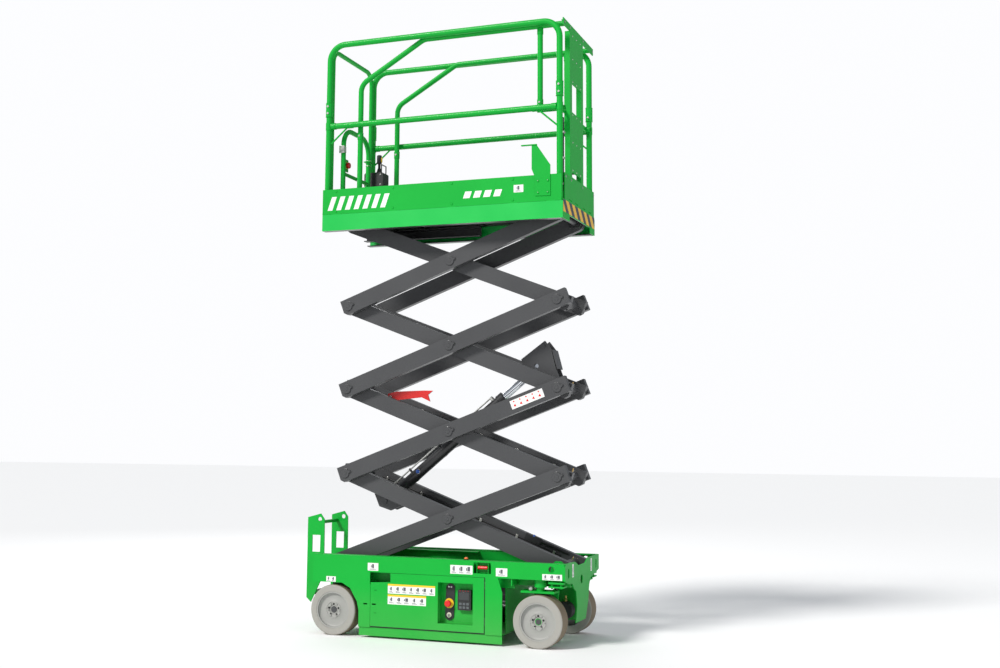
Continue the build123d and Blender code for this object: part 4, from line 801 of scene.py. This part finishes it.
# ---------------------------------------------------------------- platform rails
# Saddle sleeves hold the mid rails, hexagon heads and round pins cross the posts, and thin braces
# stiffen the corners. Plates and collars hold the posts' feet, and bolts the toeboards.
rear_post, front_post = -0.716, 0.850
inner_post, hanger_post = -0.511, 0.711
for side, name in ((-1, "near"), (1, "far")):
    y = side * 0.332
    saddles = bmesh.new()
    for x, out in ((rear_post, 1), (front_post, -1)):
        add_round(saddles, (x, y, deck_z + 0.612), (x, y, deck_z + 0.660), 0.0215, 36)
        start = (x + out * 0.019, y, deck_z + 0.636)
        add_round(saddles, start, (x + out * 0.050, y, deck_z + 0.636), 0.0215, 36)
        for z in (0.700, 0.790):
            add_ring(saddles, (x, y, deck_z + z), (0, 0, 1), 0.0232, 0.0012)
    place_piece(f"rail_saddles_{name}", saddles, green, "platform")
    pins = bmesh.new()
    for x in (rear_post, front_post):
        for z, start, end, radius, sides in (
            (0.722, 0.0225, 0.0275, 0.0075, 6),
            (0.722, -0.0225, -0.0320, 0.0065, 16),
            (0.768, 0.0225, 0.0275, 0.0075, 6),
        ):
            root, tip = (x, y + side * start, deck_z + z), (x, y + side * end, deck_z + z)
            add_round(pins, root, tip, radius, sides)
    place_piece(f"collar_pins_{name}", pins, zinc, "platform")
    braces = bmesh.new()
    for post_x, out in ((rear_post, 1), (front_post, -1)):
        lower = Vector((post_x + out * 0.017, y, deck_z + 0.520))
        upper = Vector((post_x + out * 0.130, y, deck_z + 0.619))
        add_round(braces, lower, upper, 0.0055, 12)
        add_round(braces, upper, upper + Vector((out * 0.045, 0, 0)), 0.0055, 12)
    place_piece(f"corner_braces_{name}", braces, green, "platform")
    feet = bmesh.new()
    for x in (rear_post, front_post):
        add_box(feet, (x - 0.026, y - 0.021, deck_z + 0.0565), (x + 0.026, y + 0.021, deck_z + 0.0605))
        add_round(feet, (x, y, deck_z + 0.060), (x, y, deck_z + 0.110), 0.0212, 36)
    place_piece(f"post_feet_{name}", feet, green, "platform", bevel=0.0008)
    nut_x = (-0.640, -0.240, 0.160, 0.560, 0.800)
    points = [(x, side * 0.3540, deck_z + z) for x in nut_x for z in (0.085, 0.180)]
    bolts(f"toeboard_nuts_{name}", points, (0, -side, 0), "platform", 0.007)
    heads = bmesh.new()
    for x in (-0.640, -0.240, 0.160, 0.560):
        for z in (0.068, 0.197):
            add_round(heads, (x, side * 0.360, deck_z + z), (x, side * 0.3638, deck_z + z), 0.0085, 24, 0.006)
    place_piece(f"toeboard_heads_{name}", heads, green, "platform")
    y_in = side * 0.286
    sliding = bmesh.new()
    for low, high in ((0.0615, 0.100), (0.545, 0.590)):
        add_round(sliding, (inner_post, y_in, deck_z + low), (inner_post, y_in, deck_z + high), 0.0195, 32)
    add_round(sliding, (hanger_post, y_in, deck_z + 0.653), (hanger_post, y_in, deck_z + 0.700), 0.0195, 32)
    add_round(sliding, (hanger_post, y_in, deck_z + 1.115), (hanger_post, y_in, deck_z + 1.1525), 0.0195, 32)
    add_round(sliding, (0.826, y_in, deck_z + 0.636), (0.845, y_in, deck_z + 0.636), 0.0195, 32)
    place_piece(f"sliding_saddles_{name}", sliding, green, "extension")
    places = [(x, y_in + side * 0.0190, deck_z + z) for x, z in ((inner_post, 0.568), (hanger_post, 0.680))]
    bolts(f"saddle_bolts_{name}", places, (0, side, 0), "extension", 0.005)
    places = [(x, y_in - side * 0.0190, deck_z + z) for x, z in ((inner_post, 0.568), (hanger_post, 0.680))]
    bolts(f"saddle_nuts_{name}", places, (0, -side, 0), "extension", 0.006)

# ---------------------------------------------------------------- entry gate
# Zinc collars stand above and below each hinge eye, and a latch plate with its pin and sleeve is
# on the near side.
gate_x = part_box("swing_gate")[0][0] + 0.016
gate_far = Vector(joints["gate_swing"]["pos_m"]).y
collars = bmesh.new()
for z in (0.185, 0.482):
    for shift in (-0.016, 0.020):
        add_ring(collars, (gate_x, gate_far, deck_z + z + shift), (0, 0, 1), 0.0172, 0.0022)
place_piece("gate_collars", collars, zinc, "gate")
latch = bmesh.new()
add_box(latch, (gate_x - 0.018, -0.275, deck_z + 0.472), (gate_x + 0.018, -0.264, deck_z + 0.520))
add_round(latch, (gate_x, -0.247, deck_z + 0.496), (gate_x, -0.268, deck_z + 0.496), 0.009, 20)
add_round(latch, (gate_x, -0.247, deck_z + 0.478), (gate_x, -0.247, deck_z + 0.516), 0.0178, 28)
place_piece("gate_latch", latch, zinc, "gate", bevel=0.0008)

# ---------------------------------------------------------------- platform control box
# A membrane panel, a guard bar in front of the lever, the lever's ribbed rubber boot and trigger,
# and screws in the side. The gate's stop button has two backing pads and a yellow ring.
box_low, box_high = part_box("control_box")
stick_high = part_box("joystick")[1]
stick = Vector(joints["joystick_tilt"]["pos_m"])
boot = bmesh.new()
for index in range(4):
    radius = 0.0185 - index * 0.0020
    z = stick.z + 0.0055 + index * 0.0072
    add_round(boot, (stick.x, stick.y, z), (stick.x, stick.y, z + 0.0065), radius, 36, radius - 0.003)
place_piece("joystick_boot", boot, black_plastic, "stick")
trigger = bmesh.new()
trigger_low = (stick.x + 0.014, stick.y - 0.005, stick_high[2] - 0.052)
add_box(trigger, trigger_low, (stick.x + 0.022, stick.y + 0.005, stick_high[2] - 0.018))
place_piece("joystick_trigger", trigger, yellow, "stick", bevel=0.002)
panel = bmesh.new()
panel_low = (box_low[0] + 0.020, box_low[1] + 0.014, stick.z - 0.004)
add_box(panel, panel_low, (stick.x - 0.032, stick.y + 0.033, stick.z - 0.0028))
place_piece("box_membrane", panel, label_grey, "platform", bevel=0.0004)
stop_centre = [(a + b) / 2 for a, b in zip(*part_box("platform_stop_button"))]
housing = bmesh.new()
for low, high in ((-0.036, -0.024), (0.024, 0.036)):
    pad_low = (gate_x - 0.012, stop_centre[1] - 0.021, stop_centre[2] + low)
    add_box(housing, pad_low, (gate_x - 0.0035, stop_centre[1] + 0.021, stop_centre[2] + high))
place_piece("gate_stop_housing", housing, black_plastic, "gate", bevel=0.003)
ring = bmesh.new()
add_ring(ring, (gate_x + 0.0062, stop_centre[1], stop_centre[2]), (1, 0, 0), 0.0228, 0.0018)
place_piece("gate_stop_ring", ring, yellow, "gate")
guard_bar = bmesh.new()
bar_tops = [stick + Vector((0.034, across, 0.050)) for across in (-0.036, 0.036)]
for top in bar_tops:
    add_round(guard_bar, top - Vector((0, 0, 0.054)), top, 0.004, 16)
add_round(guard_bar, bar_tops[0], bar_tops[1], 0.004, 16)
place_piece("lever_guard", guard_bar, black, "platform")
screw_x = (box_low[0] + 0.018, box_high[0] - 0.018)
screw_z = (box_low[2] + 0.016, box_high[2] - 0.016)
corner_screws = [(x, box_low[1], z) for x in screw_x for z in screw_z]
bolts("box_screws", corner_screws, (0, -1, 0), "platform", 0.0045)

# ---------------------------------------------------------------- front end of the extension
# The outlet box has a hinged cover, and the conduit has moulded ribs and zinc clamps. Rivets and
# heads hold the end panel, and four bolts the tool bracket.
conduit_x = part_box("outlet_and_conduit")[1][0] - 0.010
conduit_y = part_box("outlet_and_conduit")[0][1] + 0.010
cover = bmesh.new()
add_box(cover, (0.7945, -0.012, deck_z + 0.305), (0.7995, 0.052, deck_z + 0.392))
add_round(cover, (0.797, -0.008, deck_z + 0.394), (0.797, 0.048, deck_z + 0.394), 0.004, 16)
place_piece("outlet_cover", cover, black_plastic, "extension", bevel=0.002)
ribs = bmesh.new()
for index in range(48):
    z = deck_z + 0.075 + index * 0.0102
    add_ring(ribs, (conduit_x, conduit_y, z), (0, 0, 1), 0.0102, 0.0011, 20, 6)
place_piece("conduit_ribs", ribs, black_plastic, "extension")
clamps = bmesh.new()
for z in (0.160, 0.320, 0.480):
    clamp = Vector((conduit_x, conduit_y, deck_z + z))
    add_round(clamps, clamp - Vector((0, 0, 0.006)), clamp + Vector((0, 0, 0.006)), 0.0116, 32)
    add_box(clamps, clamp + Vector((0.004, -0.004, -0.005)), clamp + Vector((0.0128, 0.016, 0.005)))
place_piece("conduit_clamps", clamps, zinc, "extension")
rivets = bmesh.new()
for y in (-0.140, -0.055, 0.030):
    for z in (0.275, 0.450, 0.625, 0.835, 0.980, 1.130):
        add_round(rivets, (0.877, y, deck_z + z), (0.8790, y, deck_z + z), 0.005, 16, 0.003)
for y in (-0.315, -0.200, 0.090, 0.315):
    add_round(rivets, (0.877, y, deck_z + 1.168), (0.8805, y, deck_z + 1.168), 0.008, 6)
for y in (-0.300, -0.180, 0.070, 0.330):
    add_round(rivets, (0.877, y, deck_z + 0.205), (0.8805, y, deck_z + 0.205), 0.008, 6)
place_piece("panel_rivets", rivets, zinc, "extension")
bracket_heads = [(x, -0.3655, deck_z + z) for x in (0.722, 0.784) for z in (0.104, 0.176)]
bolts("bracket_washers", bracket_heads, (0, -1, 0), "platform", 0.0045)

# ---------------------------------------------------------------- studio
# A pale floor, a soft sun from the upper left, a fill and a back light, and a low camera off the
# near front corner.
floor_mesh = bpy.data.meshes.new("studio_floor")
floor_form = bmesh.new()
bmesh.ops.create_grid(floor_form, x_segments=1, y_segments=1, size=40)
floor_form.to_mesh(floor_mesh)
floor_form.free()
floor_material = bpy.data.materials.new("studio_floor")
floor_material.use_nodes = True
floor_material.node_tree.nodes["Principled BSDF"].inputs["Base Color"].default_value = (0.97, 0.97, 0.97, 1)
floor_material.node_tree.nodes["Principled BSDF"].inputs["Roughness"].default_value = 0.7
floor_mesh.materials.append(floor_material)
studio_floor = bpy.data.objects.new("studio_floor", floor_mesh)
bpy.context.scene.collection.objects.link(studio_floor)

# The backdrop is near white, and lights the machine less than it shows, so that its shade is deep.
world = bpy.data.worlds.new("studio")
world.use_nodes = True
sky = world.node_tree
seen = sky.nodes["Background"]
seen.inputs["Color"].default_value = (0.98, 0.985, 1.0, 1)
seen.inputs["Strength"].default_value = 1.0
ambient = sky.nodes.new("ShaderNodeBackground")
ambient.inputs["Color"].default_value = (0.90, 0.94, 1.0, 1)
ambient.inputs["Strength"].default_value = 0.42
ray = sky.nodes.new("ShaderNodeLightPath")
either = sky.nodes.new("ShaderNodeMixShader")
sky.links.new(ray.outputs["Is Camera Ray"], either.inputs["Fac"])
sky.links.new(ambient.outputs["Background"], either.inputs[1])
sky.links.new(seen.outputs["Background"], either.inputs[2])
sky.links.new(either.outputs["Shader"], sky.nodes["World Output"].inputs["Surface"])
bpy.context.scene.world = world
bpy.context.scene.view_settings.view_transform = "Standard"


def softbox(name, position, size, watts, colour=(1, 1, 1)):
    """A large rectangular lamp that faces the middle of the machine."""
    light = bpy.data.lights.new(name, "AREA")
    light.shape = "RECTANGLE"
    light.size, light.size_y = size
    light.energy = watts
    light.color = colour
    made = bpy.data.objects.new(name, light)
    made.location = position
    made.rotation_euler = (Vector((0, 0, 1.8)) - Vector(position)).to_track_quat("-Z", "Y").to_euler()
    bpy.context.scene.collection.objects.link(made)


softbox("fill", (6.5, -4.0, 3.5), (4.0, 4.0), 60)
softbox("back", (-4.0, 5.0, 5.5), (4.0, 3.0), 120)
key_data = bpy.data.lights.new("key", "SUN")
key_data.energy = 3.0
key_data.angle = radians(14)
key_data.color = (1.0, 0.985, 0.96)
key = bpy.data.objects.new("key", key_data)
key.rotation_euler = Vector((3.6, 6.2, -6.0)).to_track_quat("-Z", "Y").to_euler()
bpy.context.scene.collection.objects.link(key)

camera_data = bpy.data.cameras.new("studio_camera")
camera_data.sensor_width = 36
camera_data.lens = 44.72
camera_data.shift_x = 0.0236
camera_data.shift_y = -0.0441
camera = bpy.data.objects.new("studio_camera", camera_data)
yaw, pitch, roll = radians(20.7256), radians(6.8589), radians(0.4026)
forward = Vector((-sin(yaw) * cos(pitch), cos(yaw) * cos(pitch), sin(pitch)))
right = Vector((cos(yaw), sin(yaw), 0))
up = right.cross(forward)
right_rolled = right * cos(roll) + up * sin(roll)
up_rolled = up * cos(roll) - right * sin(roll)
turned = Matrix((right_rolled, up_rolled, -forward)).transposed().to_4x4()
camera.matrix_world = Matrix.Translation((2.98768, -7.38840, 1.20174)) @ turned
bpy.context.scene.collection.objects.link(camera)
bpy.context.scene.camera = camera
